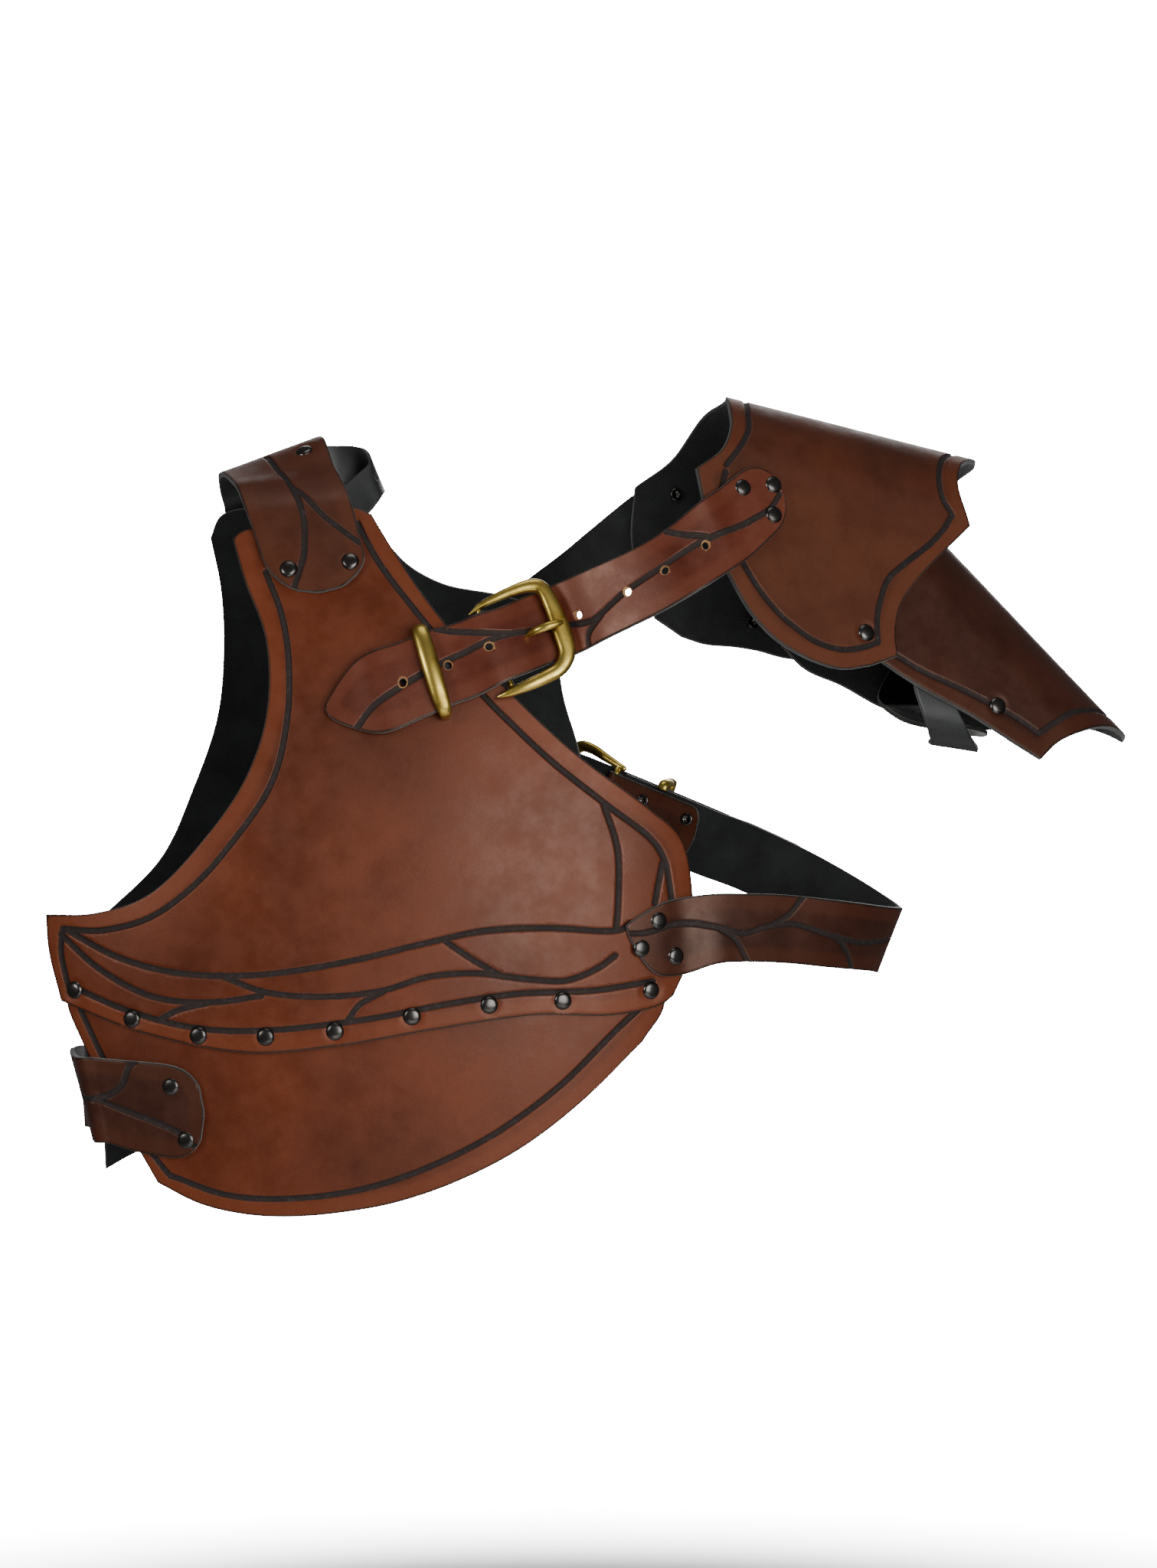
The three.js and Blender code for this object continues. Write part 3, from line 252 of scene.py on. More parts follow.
# Black leather with a painted pale grey reflection on its lower part
BLACK_WITH_PAINTED_REFLECTION = leather_with_painted_reflection("black_cowhide_with_painted_reflection", -0.1345)
RAW_EDGE = plain_leather("raw_tan_punched_edge", "#7a5230", "#b58a55", 0.85, nap=True)
BRASS = cast_metal("antique_plated_zinc_casting", "#8a7130", "#cdb25a", 0.31, 0.05)
RIVET_METAL = cast_metal("dark_nickel_plated_steel", "#3d3b39", "#575452", 0.25, 0.0)


# The forms that the flat pieces are brought to

def unit(vectors):
    vectors = np.asarray(vectors, float)
    return vectors / np.maximum(np.linalg.norm(vectors, axis=-1, keepdims=True), 1e-9)


def mix(start, end, share):
    return start + (end - start) * share


# The figure: rounded cross-sections at several heights.
TORSO_MIDDLE = 60.0
TORSO_ROUNDNESS = 2.3
TORSO = np.array([
    # up, half width, front, back
    (-430, 186, 92, 80),
    (-370, 198, 100, 86),
    (-310, 208, 106, 92),
    (-240, 213, 108, 94),
    (-170, 212, 102, 88),
    (-100, 208, 88, 74),
    (-40, 202, 68, 52),
    (10, 196, 44, 30),
], float)


def smooth_column(column, place):
    keys, values = TORSO[:, 0], TORSO[:, column]
    last = len(keys) - 1
    near = [(max(n - 1, 0), min(n + 1, last)) for n in range(last + 1)]
    slopes = np.array([(values[b] - values[a]) / (keys[b] - keys[a]) for a, b in near])
    k = np.clip(np.searchsorted(keys, place) - 1, 0, last - 1)
    span = keys[k + 1] - keys[k]
    u = (place - keys[k]) / span
    value = (2 * u**3 - 3 * u**2 + 1) * values[k] + (3 * u**2 - 2 * u**3) * values[k + 1]
    return value + ((u**3 - 2 * u**2 + u) * slopes[k] + (u**3 - u**2) * slopes[k + 1]) * span


def torso_point(side, across, up):
    half_width = smooth_column(1, up)
    depth = smooth_column(2 if side < 0 else 3, up)
    reach = np.minimum(np.abs(across - TORSO_MIDDLE) / half_width, 0.995)
    rounding = (1 - reach**TORSO_ROUNDNESS) ** (1 / TORSO_ROUNDNESS)
    return np.stack([across, side * depth * rounding, up], axis=-1)


def numbers(*values):
    return np.broadcast_arrays(*(np.asarray(value, float) for value in values))


def formed_on_torso(side):
    step = 0.5

    def surface(across, up, lift=0.0):
        across, up, lift = numbers(across, up, lift)
        along_across = torso_point(side, across + step, up) - torso_point(side, across - step, up)
        along_up = torso_point(side, across, up + step) - torso_point(side, across, up - step)
        normal = unit(np.cross(along_across, along_up))
        normal = normal * np.sign(normal[..., 1:2] * side)
        return torso_point(side, across, up) + normal * lift[..., None]

    return surface


front = formed_on_torso(-1)
back = formed_on_torso(1)


def turned(vector, axis, degrees):
    angle = math.radians(degrees)
    vector, axis = np.asarray(vector, float), unit(axis)
    return (vector * math.cos(angle) + np.cross(axis, vector) * math.sin(angle)
            + axis * axis.dot(vector) * (1 - math.cos(angle)))


class Arch:
    """A lame's form: a straight ridge, a round top and flat legs."""

    def __init__(self, start, along, rearward, down, radius):
        self.start, self.along, self.rearward, self.down, self.radius = start, along, rearward, down, radius

    def place(self, along, rearward, down):
        along, rearward, down = (n[..., None] for n in numbers(along, rearward, down))
        return self.start + along * self.along + rearward * self.rearward + down * self.down

    def surface(self, along, girth, lift=0.0):
        along, girth, lift = numbers(along, girth, lift)
        quarter = self.radius * math.pi / 2
        turn = np.minimum(np.abs(girth), quarter) / self.radius
        leg = np.maximum(np.abs(girth) - quarter, 0)
        reach = np.sign(girth) * (self.radius + lift) * np.sin(turn)
        drop = self.radius - (self.radius + lift) * np.cos(turn) + leg
        return self.place(along, reach, drop)


SLOPE, YAW, ROLL, FOLD_ANGLE = 12, 20, 15, 35.4
UPPER_RADIUS = 48.0
LOWER_RADIUS = UPPER_RADIUS - LEATHER - LAYER_GAP
RIDGE_START = np.array((254, -15, 29.6))
LOWER_START = (112, 0, 41.1)


def lame_arches():
    along = turned(turned((1, 0, 0), (0, 1, 0), SLOPE), (0, 0, 1), YAW)
    rearward = turned(turned((0, 1, 0), (0, 0, 1), YAW), along, -ROLL)
    down = np.cross(rearward, along)
    upper = Arch(RIDGE_START, along, rearward, down, UPPER_RADIUS)
    lower = Arch(upper.place(*LOWER_START), turned(along, rearward, FOLD_ANGLE), rearward,
                 turned(down, rearward, FOLD_ANGLE), LOWER_RADIUS)
    return upper, lower


UPPER, LOWER = lame_arches()


def on_surface(surface, rows):
    """Stations across a strap, each a row: edge a's place, edge b's place and the lift."""
    return [lambda share, r=row: surface(mix(r[0], r[2], share), mix(r[1], r[3], share), r[4])
            for row in rows]


def in_space(rows):
    """Stations across a strap in the air, each a row: edge a's point and edge b's point."""
    return [lambda share, r=np.array(row, float): r[:3] + (r[3:] - r[:3]) * share[:, None] for row in rows]


class StrapForm:
    """The way that a straight strap runs: its flat length and width become a place in space."""

    def __init__(self, stations, facing, width):
        self.shares = np.linspace(0, 1, 9)
        self.points = np.array([station(self.shares) for station in stations])
        self.facing, self.width = facing, width
        self.places = np.linspace(0, len(stations) - 1, 801)
        middle = self.base(self.places, np.full_like(self.places, 0.5))
        steps = np.linalg.norm(np.diff(middle, axis=0), axis=1)
        self.lengths = np.concatenate([[0], np.cumsum(steps)])
        self.length = float(self.lengths[-1])

    def base(self, place, share):
        last = len(self.points) - 1
        k = np.clip(np.floor(place).astype(int), 0, last - 1)
        u = (place - k)[..., None]
        column = np.clip(share, 0, 1) * (len(self.shares) - 1)
        j = np.clip(np.floor(column).astype(int), 0, len(self.shares) - 2)
        w = (column - j)[..., None]
        p0, p1, p2, p3 = (
            self.points[n, j] * (1 - w) + self.points[n, j + 1] * w
            for n in (np.clip(k + d, 0, last) for d in (-1, 0, 1, 2))
        )
        return p1 + 0.5 * u * (p2 - p0 + u * (2 * p0 - 5 * p1 + 4 * p2 - p3 + u * (3 * (p1 - p2) + p3 - p0)))

    def at(self, along, across):
        return self.base(np.interp(along, self.lengths, self.places), 0.5 + across / self.width)

    def surface(self, along, across, lift=0.0):
        along, across, lift = numbers(along, across, lift)
        step, edge = 1.0, self.width / 2
        ahead, behind = np.minimum(along + step, self.length), np.maximum(along - step, 0)
        right, left = np.minimum(across + step, edge), np.maximum(across - step, -edge)
        length = self.at(ahead, across) - self.at(behind, across)
        over = self.at(along, right) - self.at(along, left)
        normal = unit(np.cross(length, over)) * self.facing
        return self.at(along, across) + normal * lift[..., None]


# Cutting and tooling flat

def smooth_run(points, spacing):
    """Evenly spaced points on a smooth curve through the given ones."""
    points = np.array(points, float)
    if len(points) > 2:
        padded = np.vstack([2 * points[0] - points[1], points, 2 * points[-1] - points[-2]])
        knots = np.concatenate([[0], np.cumsum(np.linalg.norm(np.diff(padded, axis=0), axis=1) ** 0.5)])
        dense = []
        for k in range(1, len(padded) - 2):
            t = np.linspace(knots[k], knots[k + 1], 24, endpoint=False)[:, None]
            p, q = padded[k - 1:k + 3], knots[k - 1:k + 3]
            a = [((q[n + 1] - t) * p[n] + (t - q[n]) * p[n + 1]) / (q[n + 1] - q[n]) for n in range(3)]
            b = [((q[n + 2] - t) * a[n] + (t - q[n]) * a[n + 1]) / (q[n + 2] - q[n]) for n in range(2)]
            dense.append(((q[2] - t) * b[0] + (t - q[1]) * b[1]) / (q[2] - q[1]))
        points = np.vstack(dense + [points[-1:]])
    reached = np.concatenate([[0], np.cumsum(np.linalg.norm(np.diff(points, axis=0), axis=1))])
    count = max(int(round(reached[-1] / spacing)), 1)
    wanted = np.linspace(0, reached[-1], count + 1)
    return np.stack([np.interp(wanted, reached, points[:, n]) for n in range(points.shape[1])], axis=-1)


def side_points(rows, steps):
    """A side of a plate in a fixed number of steps. It bends sharply at the rows with a third number."""
    runs = [[rows[0][:2]]]
    for row in rows[1:-1]:
        runs[-1].append(row[:2])
        if len(row) > 2:
            runs.append([row[:2]])
    runs[-1].append(rows[-1][:2])
    dense = [smooth_run(run, 0.5) for run in runs]
    lengths = [np.linalg.norm(np.diff(run, axis=0), axis=1).sum() for run in dense]
    ends = [round(steps * reached / sum(lengths)) for reached in np.cumsum([0] + lengths)]
    points = [dense[0][:1]]
    for run, first, last in zip(dense, ends, ends[1:]):
        places = np.linspace(0, len(run) - 1, last - first + 1)[1:]
        points.append(np.stack([np.interp(places, np.arange(len(run)), run[:, n]) for n in (0, 1)], axis=-1))
    return np.vstack(points)


def plate_blank(outline, columns, rows):
    """A flat grid that fills a plate's outline evenly."""
    left, right, bottom, top = (outline[key] for key in ("left", "right", "bottom", "top"))
    west, east = side_points(left, rows), side_points(right, rows)
    south = side_points([left[0][:2], *bottom, right[0][:2]], columns)
    north = side_points([left[-1][:2], *top, right[-1][:2]], columns)
    bm = bmesh.new()
    bmesh.ops.create_grid(bm, x_segments=columns, y_segments=rows, size=1)
    for vert in bm.verts:
        u, v = (vert.co.x + 1) / 2, (vert.co.y + 1) / 2
        i, j = round(v * rows), round(u * columns)
        sides = mix(south[j], north[j], v) + mix(west[i], east[i], u)
        corners = mix(mix(south[0], south[-1], u), mix(north[0], north[-1], u), v)
        vert.co = (*(sides - corners), 0)
    return bm


def strap_blank(length, width, spacing, ends):
    """A flat strap. ends gives for each end the length of its rounding and how blunt it is."""
    columns, rows = round(length / spacing), round(width / spacing)
    bm = bmesh.new()
    bmesh.ops.create_grid(bm, x_segments=columns, y_segments=rows, size=1)
    for vert in bm.verts:
        along = (vert.co.x + 1) / 2 * length
        share = 1.0
        for (rounding, blunt), distance in zip(ends, (along, length - along)):
            if rounding and distance < rounding:
                share *= max(1 - (1 - distance / rounding) ** blunt, 0) ** (1 / blunt)
        vert.co = (along, vert.co.y * width / 2 * max(share, 0.06), 0)
    return bm


def punch(bm, places, radius):
    """Punches round holes in a flat grid: faces inside go, and the ring around is drawn to the circle."""
    for place in places:
        centre = Vector((*place, 0))
        inside = [face for face in bm.faces if (face.calc_center_median() - centre).length < radius * 1.02]
        bmesh.ops.delete(bm, geom=inside, context="FACES")
        for vert in bm.verts:
            away = vert.co - centre
            if vert.is_boundary and away.length < radius * 1.9:
                vert.co = centre + away.normalized() * radius


def nearest(points, places):
    """How far each place is from the nearest of some points, as a list."""
    if not len(points):
        return [99.0] * len(places)
    tree = kdtree.KDTree(len(points))
    for k, point in enumerate(points):
        tree.insert((point[0], point[1], 0), k)
    tree.balance()
    return [tree.find((x, y, 0))[2] for x, y in places]


EDGE_ROUNDING = 0.5
HOLE_RIM = 2.75
LINE_HALF = 1.75
LINE_DEPTH = 0.85
DENT_REACH = 7.5
DENT_DEPTH = 0.55


def dress(name, bm, surface, lift, thickness, finish, slot, lines, rivets, holes, flesh, levels=(4.5, 2.8)):
    """Gives a flat blank its thickness, rounded edges, tooled lines and rivet dents, and forms it."""
    outline = [vert.co.xy[:] for vert in bm.verts if vert.is_boundary]
    rim_points = [p for p in outline if all(math.dist(p, hole) > 3.2 for hole in holes)]
    grown = bmesh.ops.extrude_face_region(bm, geom=bm.faces[:])
    raised = [v for v in grown["geom"] if isinstance(v, bmesh.types.BMVert)]
    bmesh.ops.translate(bm, vec=(0, 0, thickness), verts=raised)
    bmesh.ops.recalc_face_normals(bm, faces=bm.faces[:])
    corners = [e for e in bm.edges if len(e.link_faces) == 2 and e.calc_face_angle(0) > 1.0
               and abs(e.verts[0].co.z - e.verts[1].co.z) < 0.1]
    bmesh.ops.bevel(bm, geom=corners, offset=EDGE_ROUNDING, offset_type="OFFSET", segments=2, profile=0.5,
                    affect="EDGES", material=-1)
    tooled = np.vstack([smooth_run(line, 0.5) for line in lines]) if lines else []
    works = [*tooled, *rivets]
    for level, reach in enumerate(levels if len(works) else ()):
        top = [e for e in bm.edges if all(abs(v.co.z - thickness) < 1e-4 for v in e.verts)]
        middles = [((e.verts[0].co + e.verts[1].co) / 2).xy for e in top]
        gaps = nearest(tooled, middles)
        dents = nearest(rivets, middles)
        chosen = [e for e, gap, dent in zip(top, gaps, dents)
                  if gap < reach or (level == 0 and dent < DENT_REACH)]
        bmesh.ops.subdivide_edges(bm, edges=chosen, cuts=1, use_grid_fill=True)
    for face in bm.faces:
        centre = face.calc_center_median()
        face.smooth = True
        if any(math.dist(centre.xy, hole) < HOLE_RIM for hole in holes):
            face.material_index = 3
        elif abs(face.normal.z) > 0.9:
            face.material_index = 0 if face.normal.z > 0 else 1
        else:
            face.material_index = 2
    mesh = bpy.data.meshes.new(name)
    bm.to_mesh(mesh)
    bm.free()
    flat = np.empty(len(mesh.vertices) * 3)
    mesh.vertices.foreach_get("co", flat)
    flat = flat.reshape(-1, 3)
    places = flat[:, :2].tolist()
    on_top = np.abs(flat[:, 2] - thickness) < 0.7
    gap, dent, rim = (np.array(nearest(points, places)) for points in (tooled, rivets, rim_points))
    gap = np.where(on_top, gap, 99.0)
    cut = np.clip((LINE_HALF + 0.25 - gap) / 1.1, 0, 1)
    sunk = LINE_DEPTH * cut * cut * (3 - 2 * cut)
    pressed = np.exp(-((dent / 5.6) ** 4)) * DENT_DEPTH
    raised_ring = np.exp(-((dent - 7.2) / 1.6) ** 2) * 0.12
    hollow = np.where(on_top, pressed - raised_ring, 0)
    along, across = flat[:, 0], flat[:, 1]
    wave = 0.22 * np.sin(along / 17.0 + 2.0 * np.sin(across / 31.0)) * np.sin(across / 23.0 + 1.3)
    formed = surface(along, across, flat[:, 2] + lift - hollow - sunk + wave * 0.6) * MM
    mesh.vertices.foreach_set("co", formed.ravel())
    for key, values in (("line_gap", np.minimum(gap, 8.0)), ("rim_gap", np.minimum(rim, 12.0))):
        mesh.attributes.new(key, "FLOAT", "POINT").data.foreach_set("value", values)
    mesh.update()
    for material in (finish, flesh, CUT_EDGE, RAW_EDGE if finish is STRAP_CHESTNUT else CUT_EDGE):
        mesh.materials.append(material)
    piece = bpy.data.objects.new(name, mesh)
    bpy.context.scene.collection.objects.link(piece)
    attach(piece, "root")
    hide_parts(name)
    return piece


# Plates

FRONT_UPPER = {
    "left": [(-106, -295), (-113, -268), (-114.5, -248.5, 1), (-88, -247.5), (-59, -238), (-30, -210),
    (-6, -175),
             (5, -140), (4, -101), (-8, -69), (-15, -46)],
    "right": [(222, -292), (231, -270), (232, -235), (226, -207), (210, -192), (169, -161), (132, -126),
    (96, -87),
              (71, -51), (60, -33)],
    "bottom": [(-64, -310.5), (-6, -321.5), (42, -318), (92, -309.5), (149, -301.5), (189, -302),
    (215, -297)],
    "top": [(-10, -42), (20, -36), (50, -29)],
}
FRONT_LOWER = {
    "left": [(-55, -393), (-82, -346), (-97, -316), (-105, -296), (-104, -277)],
    "right": [(207, -317), (219, -297), (215, -272)],
    "bottom": [(-32, -404), (-7, -409.5), (18, -410.5), (46, -408), (75, -402.5), (108, -391),
    (141, -374), (174, -349)],
    "top": [(-60, -288), (-6, -297), (42, -294), (92, -285), (149, -277), (190, -276)],
}
BACK_PLATE = {
    "left": [(-94, -395), (-97, -340), (-98, -254, 1), (-65, -220), (-47, -181), (-33, -140), (-29, -102),
    (-30, -68),
             (-35, -40)],
    "right": [(150, -340), (176, -290), (182, -230), (172, -160), (163, -128), (157, -79, 1), (124, -71),
    (97, -66),
              (76, -55), (60, -38), (50, -29)],
    "bottom": [(-77, -386), (-30, -372), (40, -362), (110, -354)],
    "top": [(-29, -28), (-12, -23), (20, -21), (42, -23)],
}
UPPER_LAME = {
    "left": [(78, -175.5), (62, -181), (45, -180.5), (22, -173.5), (6, -162), (-9, -143.5), (-22, -122),
    (-34, -88, 1),
             (-20, -73), (-15, -57), (-14, -43), (-10, -22), (-4, -2), (-7, 14), (-13, 46), (-31, 67, 1),
             (-29, 101),
             (-11, 140, 1), (6, 147)],
    "right": [(93.5, -166.5), (91, -155), (91.6, -140), (100, -122), (130, -82, 1), (122, -60),
    (127, -41), (146, -14),
              (150.5, 0), (146, 24), (134, 60), (120, 98), (98, 128), (84, 143)],
    "bottom": [(86, -171)],
    "top": [(20, 148), (38, 145.5), (52, 144.5), (68, 145)],
}
LOWER_LAME = {
    "left": [(8, -128), (-12, -104), (-24, -70), (-30, -20), (-30, 20), (-24, 70), (-4, 100), (2, 111)],
    "right": [(138.5, -93.5), (139.5, -78), (147, -58), (157, -40), (168, -23), (172.5, -11, 1), (158, 5),
    (148, 18),
              (136, 34), (126, 47)],
    "bottom": [(39, -123), (62, -117), (95, -105.5), (123, -98)],
    "top": [(21, 110.5), (42, 101), (67, 92), (98, 74), (114, 60)],
}

# Rivets: the surface, the lift of the leather under the cap, the thickness held, and the places
RIVETS = {
    "seam_rivet": (front, LEATHER, 6.5, [(-98.5, -289), (-67, -304), (-31, -312.5), (5, -313), (42, -310),
    (83, -302),
                                        (124, -296), (163, -294), (210, -289)]),
    "shoulder_rivet_front": (front, ON_PLATE + LEATHER, 6.5, [(16, -64), (49, -60)]),
    "shoulder_rivet_back": (back, ON_PLATE + LEATHER, 6.5, [(-10, -62), (23, -62)]),
    "side_rivet_front": (front, ON_PLATE + LEATHER, 7.0, [(212.5, -251.5), (203.5, -266), (221.5, -270.5)]),
    "side_rivet_back": (back, ON_PLATE + LEATHER, 6.5, [(122, -158), (128, -143)]),
    "low_rivet_front": (front, LEATHER, 6.5, [(-46, -340), (-38, -369)]),
    "low_rivet_back": (back, ON_PLATE + LEATHER, 6.5, [(-68, -337), (-68, -362)]),
    "neck_rivet_back": (back, ON_PLATE + LEATHER, 7.0, [(128, -84), (138, -96)]),
    "chest_rivet": (UPPER.surface, HALF + LAYER_GAP + LEATHER, 6.5, [(-7.5, -94), (10, -88), (12, -105)]),
    "neck_rivet_lame": (UPPER.surface, HALF + 2 * LAYER_GAP + LEATHER, 7.5, [(-7.5, 66)]),
    "lame_rivet": (UPPER.surface, HALF, 6.5, [(73.8, -157.5), (44.8, 131)]),
    "arm_rivet": (LOWER.surface, HALF, 3.5, [(101, -90)]),
}


def rivet_places(*names):
    return [place for name in names for place in RIVETS[name][3]]


# Tooled lines: curves through a few points, in each pattern's own millimetres
FRONT_LINES = [
    [(3.5, -64.5), (12.5, -88), (16.6, -113), (16, -145), (8, -178), (-14, -211), (-35, -234), (-58, -250),
     (-83.5, -256.6), (-105, -256)],
    [(-105, -256), (-106, -268), (-102, -287)],
    [(52.5, -38), (64, -59), (90.6, -93.6), (121.4, -131.8), (136, -146.5), (158, -167), (187, -190),
    (210, -208),
     (217, -219), (221, -241)],
    [(185, -190), (192, -213), (192.5, -240), (191.4, -256)],
    [(216, -221), (214, -231), (212, -242)],
    [(-104, -256), (-74, -271), (-42, -279), (-1, -280), (45, -273.5), (92, -262.5), (121, -256.5),
    (155, -255),
     (193, -256.4), (199, -253)],
    [(-20, -280), (5, -289), (37, -291.4), (68, -288), (91, -281), (117, -279), (145, -282.3),
    (165, -283), (181, -277),
     (191, -270)],
    [(101, -262), (115, -271.5), (130.5, -280.5)],
    [(-106, -259), (-85, -277), (-55, -292), (-23, -294.5), (3, -291)],
    [(-51.5, -304), (-42, -299), (-24, -294.5)],
    [(49, -304), (55, -296), (68, -288.5)],
    [(-99, -287.5), (-66, -300.5), (-32, -308.5), (5, -309.5), (60, -303.3), (103, -295.2), (139, -290),
    (180, -288.5),
     (211, -284)],
]
LOWER_LINES = [
    [(-97, -300), (-85.6, -324), (-70, -353), (-57, -378), (-48.4, -388.7)],
    [(-48.4, -388.7), (-15, -399.4), (28, -399.8), (67.5, -392.3), (118, -371), (160, -342), (193, -310),
    (205, -299)],
]
UPPER_LINES = [
    [(8, -3), (15, 8), (22, 20), (24, 32), (20.5, 43), (13, 56), (6, 72), (2, 96), (12, 128)],
    [(8, -3), (2, -20), (-3, -42), (-5, -58), (-10, -70), (-17, -82)],
    [(-17, -86), (-18, -100), (-10, -122), (2, -140), (19, -156.6), (33, -164.8), (46, -169.7), (60, -170.4),
     (71, -167), (81, -161.5)],
    [(81, -161.5), (79.4, -148), (80.4, -137), (84, -124), (95, -110.7), (107, -98), (114, -88),
    (118.5, -78.5)],
    [(118.5, -78.5), (112, -70), (110, -59), (114, -43), (131, -17), (136, 0), (132, 24), (120, 58),
    (107, 94),
     (90, 118), (66, 132), (40, 134), (12, 128)],
]
LOWER_LAME_LINES = [
    [(36, -116), (56, -110), (86, -97), (113, -87), (128, -83.5)],
    [(128, -83.5), (130.5, -72), (134, -59), (144, -41), (154, -25), (159, -12)],
    [(159, -12), (146, 1), (137, 13), (126, 27), (116, 38), (100, 57), (68, 79), (40, 88)],
]

plates = [
    ("front_upper", plate_blank(FRONT_UPPER, 134, 112), front, 0, CHESTNUT, "chestnut_leather", FRONT_LINES,
     rivet_places("seam_rivet")),
    ("front_lower", plate_blank(FRONT_LOWER, 120, 46), front, -ON_PLATE, CHESTNUT, "chestnut_leather",
    LOWER_LINES,
     ()),
    ("back_plate", plate_blank(BACK_PLATE, 80, 100), back, 0, BLACK_GRAIN, "black_leather", (), ()),
    ("pauldron_upper", plate_blank(UPPER_LAME, 70, 150), UPPER.surface, -HALF, SHOULDER_CHESTNUT,
    "chestnut_leather",
     UPPER_LINES, rivet_places("lame_rivet")),
    ("pauldron_lower", plate_blank(LOWER_LAME, 80, 90), LOWER.surface, -HALF, DARK_BROWN,
    "dark_brown_leather",
     LOWER_LAME_LINES, rivet_places("arm_rivet")),
]


# The arm strap's grain and flesh sides both carry the painted pale grey reflection.
FLESH = {"shoulder_tail": BLACK_GRAIN, "arm_strap": BLACK_WITH_PAINTED_REFLECTION, "arm_loop": BLACK_GRAIN}


def flat_size(bm):
    """A flat blank's width, length and area, in metres and square metres."""
    places = [[vert.co[n] for vert in bm.verts] for n in (1, 0)]
    area = sum(face.calc_area() for face in bm.faces) * MM * MM
    return [(max(place) - min(place)) * MM for place in places], area


def cut_and_hang(name, blank, surface, lift, thickness, finish, slot, lines, dents, holes=()):
    flat, area = flat_size(blank)
    flesh = FLESH.get(name, BLACK_SUEDE)
    piece = dress(name, blank, surface, lift, thickness, finish, slot, lines, dents, holes, flesh)


for name, blank, surface, lift, finish, slot, lines, rivets in plates:
    cut_and_hang(name, blank, surface, lift, LEATHER, finish, slot, lines, rivets)

# Straps

UNDER_TAB = ON_PLATE + 2 * THIN_LEATHER + 2 * SEAM_GAP + 0.4
SHOULDER = StrapForm(on_surface(front, [
    (9, -78, 56, -75, ON_PLATE),
    (3, -64, 58, -60, ON_PLATE),
    (-1, -52, 55, -49, ON_PLATE),
    (-5, -41, 52, -36, ON_PLATE + 0.2),
    (-9, -31, 48, -24, ON_PLATE + 0.4),
]) + in_space([
    (-14, -54, -19, 43, -53, -12.5),
    (-18, -41, -14.2, 39, -40.5, -5),
    (-21, -29, -11.3, 36, -29.5, 4),
    (-23.5, -18, -9.5, 33.5, -20, 10),
    (-26, -5, -8.7, 30.5, -8, 11.7),
    (-28, 10, -10.2, 27.5, 8, 10.5),
    (-28, 28, -18, 27, 29, 0),
]) + on_surface(back, [
    (-27, -27, 28, -12, ON_PLATE + 1),
    (-27, -44, 31, -33, ON_PLATE + 0.3),
    (-24, -60, 36, -54, ON_PLATE),
    (-17, -78, 35, -75, ON_PLATE),
]), -1, 56)
CHEST = StrapForm(on_surface(front, [
    (36, -127, 38, -152, 4.4),
    (48, -116, 55, -153, 5.4),
    (61, -109, 71, -152, UNDER_TAB),
    (76, -104, 88, -145, UNDER_TAB),
    (91, -98, 104, -138, UNDER_TAB),
    (103.5, -95, 118, -133, UNDER_TAB + 1.4),
    (115.8, -90.8, 131, -126.5, UNDER_TAB + 3.9),
    (128.4, -86, 143.6, -121, UNDER_TAB + 1.6),
    (141, -79.5, 156.5, -115, ON_PLATE + 2.2),
]) + in_space([
    (158, -78, -71, 173, -87, -108),
    (177, -87, -63, 191, -96, -99),
    (202, -96, -52, 216, -105, -87),
    (220, -98, -41, 237, -107.5, -75),
]) + on_surface(UPPER.surface, [
    (-31, -107, -9, -142, HALF + LAYER_GAP + 0.4),
    (-21, -97, 2, -131, HALF + LAYER_GAP),
    (-9, -84, 14, -116, HALF + LAYER_GAP),
    (3, -72, 26, -104, HALF + LAYER_GAP),
]), -1, 38.5)

# Where the side strap meets its buckle: along it from the hinge bar, across it downwards, and out
BUCKLE_ORIGIN = np.array((193.5, 84.3, -190))
BUCKLE_ALONG = unit((0.89, -0.259, -0.373))
BUCKLE_OUT = unit(np.cross(BUCKLE_ALONG, (-0.188, 0.081, -0.979)))
BUCKLE_ACROSS = np.cross(BUCKLE_OUT, BUCKLE_ALONG)


def side_place(along, across, out):
    along, across, out = (n[..., None] for n in numbers(along, across, out))
    return BUCKLE_ORIGIN + along * BUCKLE_ALONG + across * BUCKLE_ACROSS + out * BUCKLE_OUT


def side_rows(half_width, rows):
    return [lambda share, r=row: side_place(r[0], mix(-half_width, half_width, share), r[1]) for row in rows]


side_stations = on_surface(front, [
    (198, -247, 194, -261, ON_PLATE),
    (206, -244, 203, -274, ON_PLATE),
    (215, -241.5, 213, -281, ON_PLATE),
    (226, -239, 227, -280.5, ON_PLATE),
]) + in_space([
    (245, -74, -237, 246, -73, -275.5),
    (261, -67, -237, 259, -66, -274.5),
    (285, -54, -238, 282, -53, -275.5),
    (320, -34, -242, 310, -33, -278.5),
    (341, -12, -245, 328, -12, -280.5),
    (348, -1, -245.5, 334, -1, -281.5),
    (349, 8, -245, 335, 8, -282),
    (343, 18, -240.5, 332, 20, -278.5),
    (325, 33, -229, 316, 36, -266),
    (300, 47, -215, 292, 50, -252),
    (270, 60, -201, 262, 63, -238),
]) + side_rows(BELT / 2, [(60, 0), (48, 0), (26, 0), (-1, 0)])
SIDE = StrapForm(side_stations, -1, BELT)


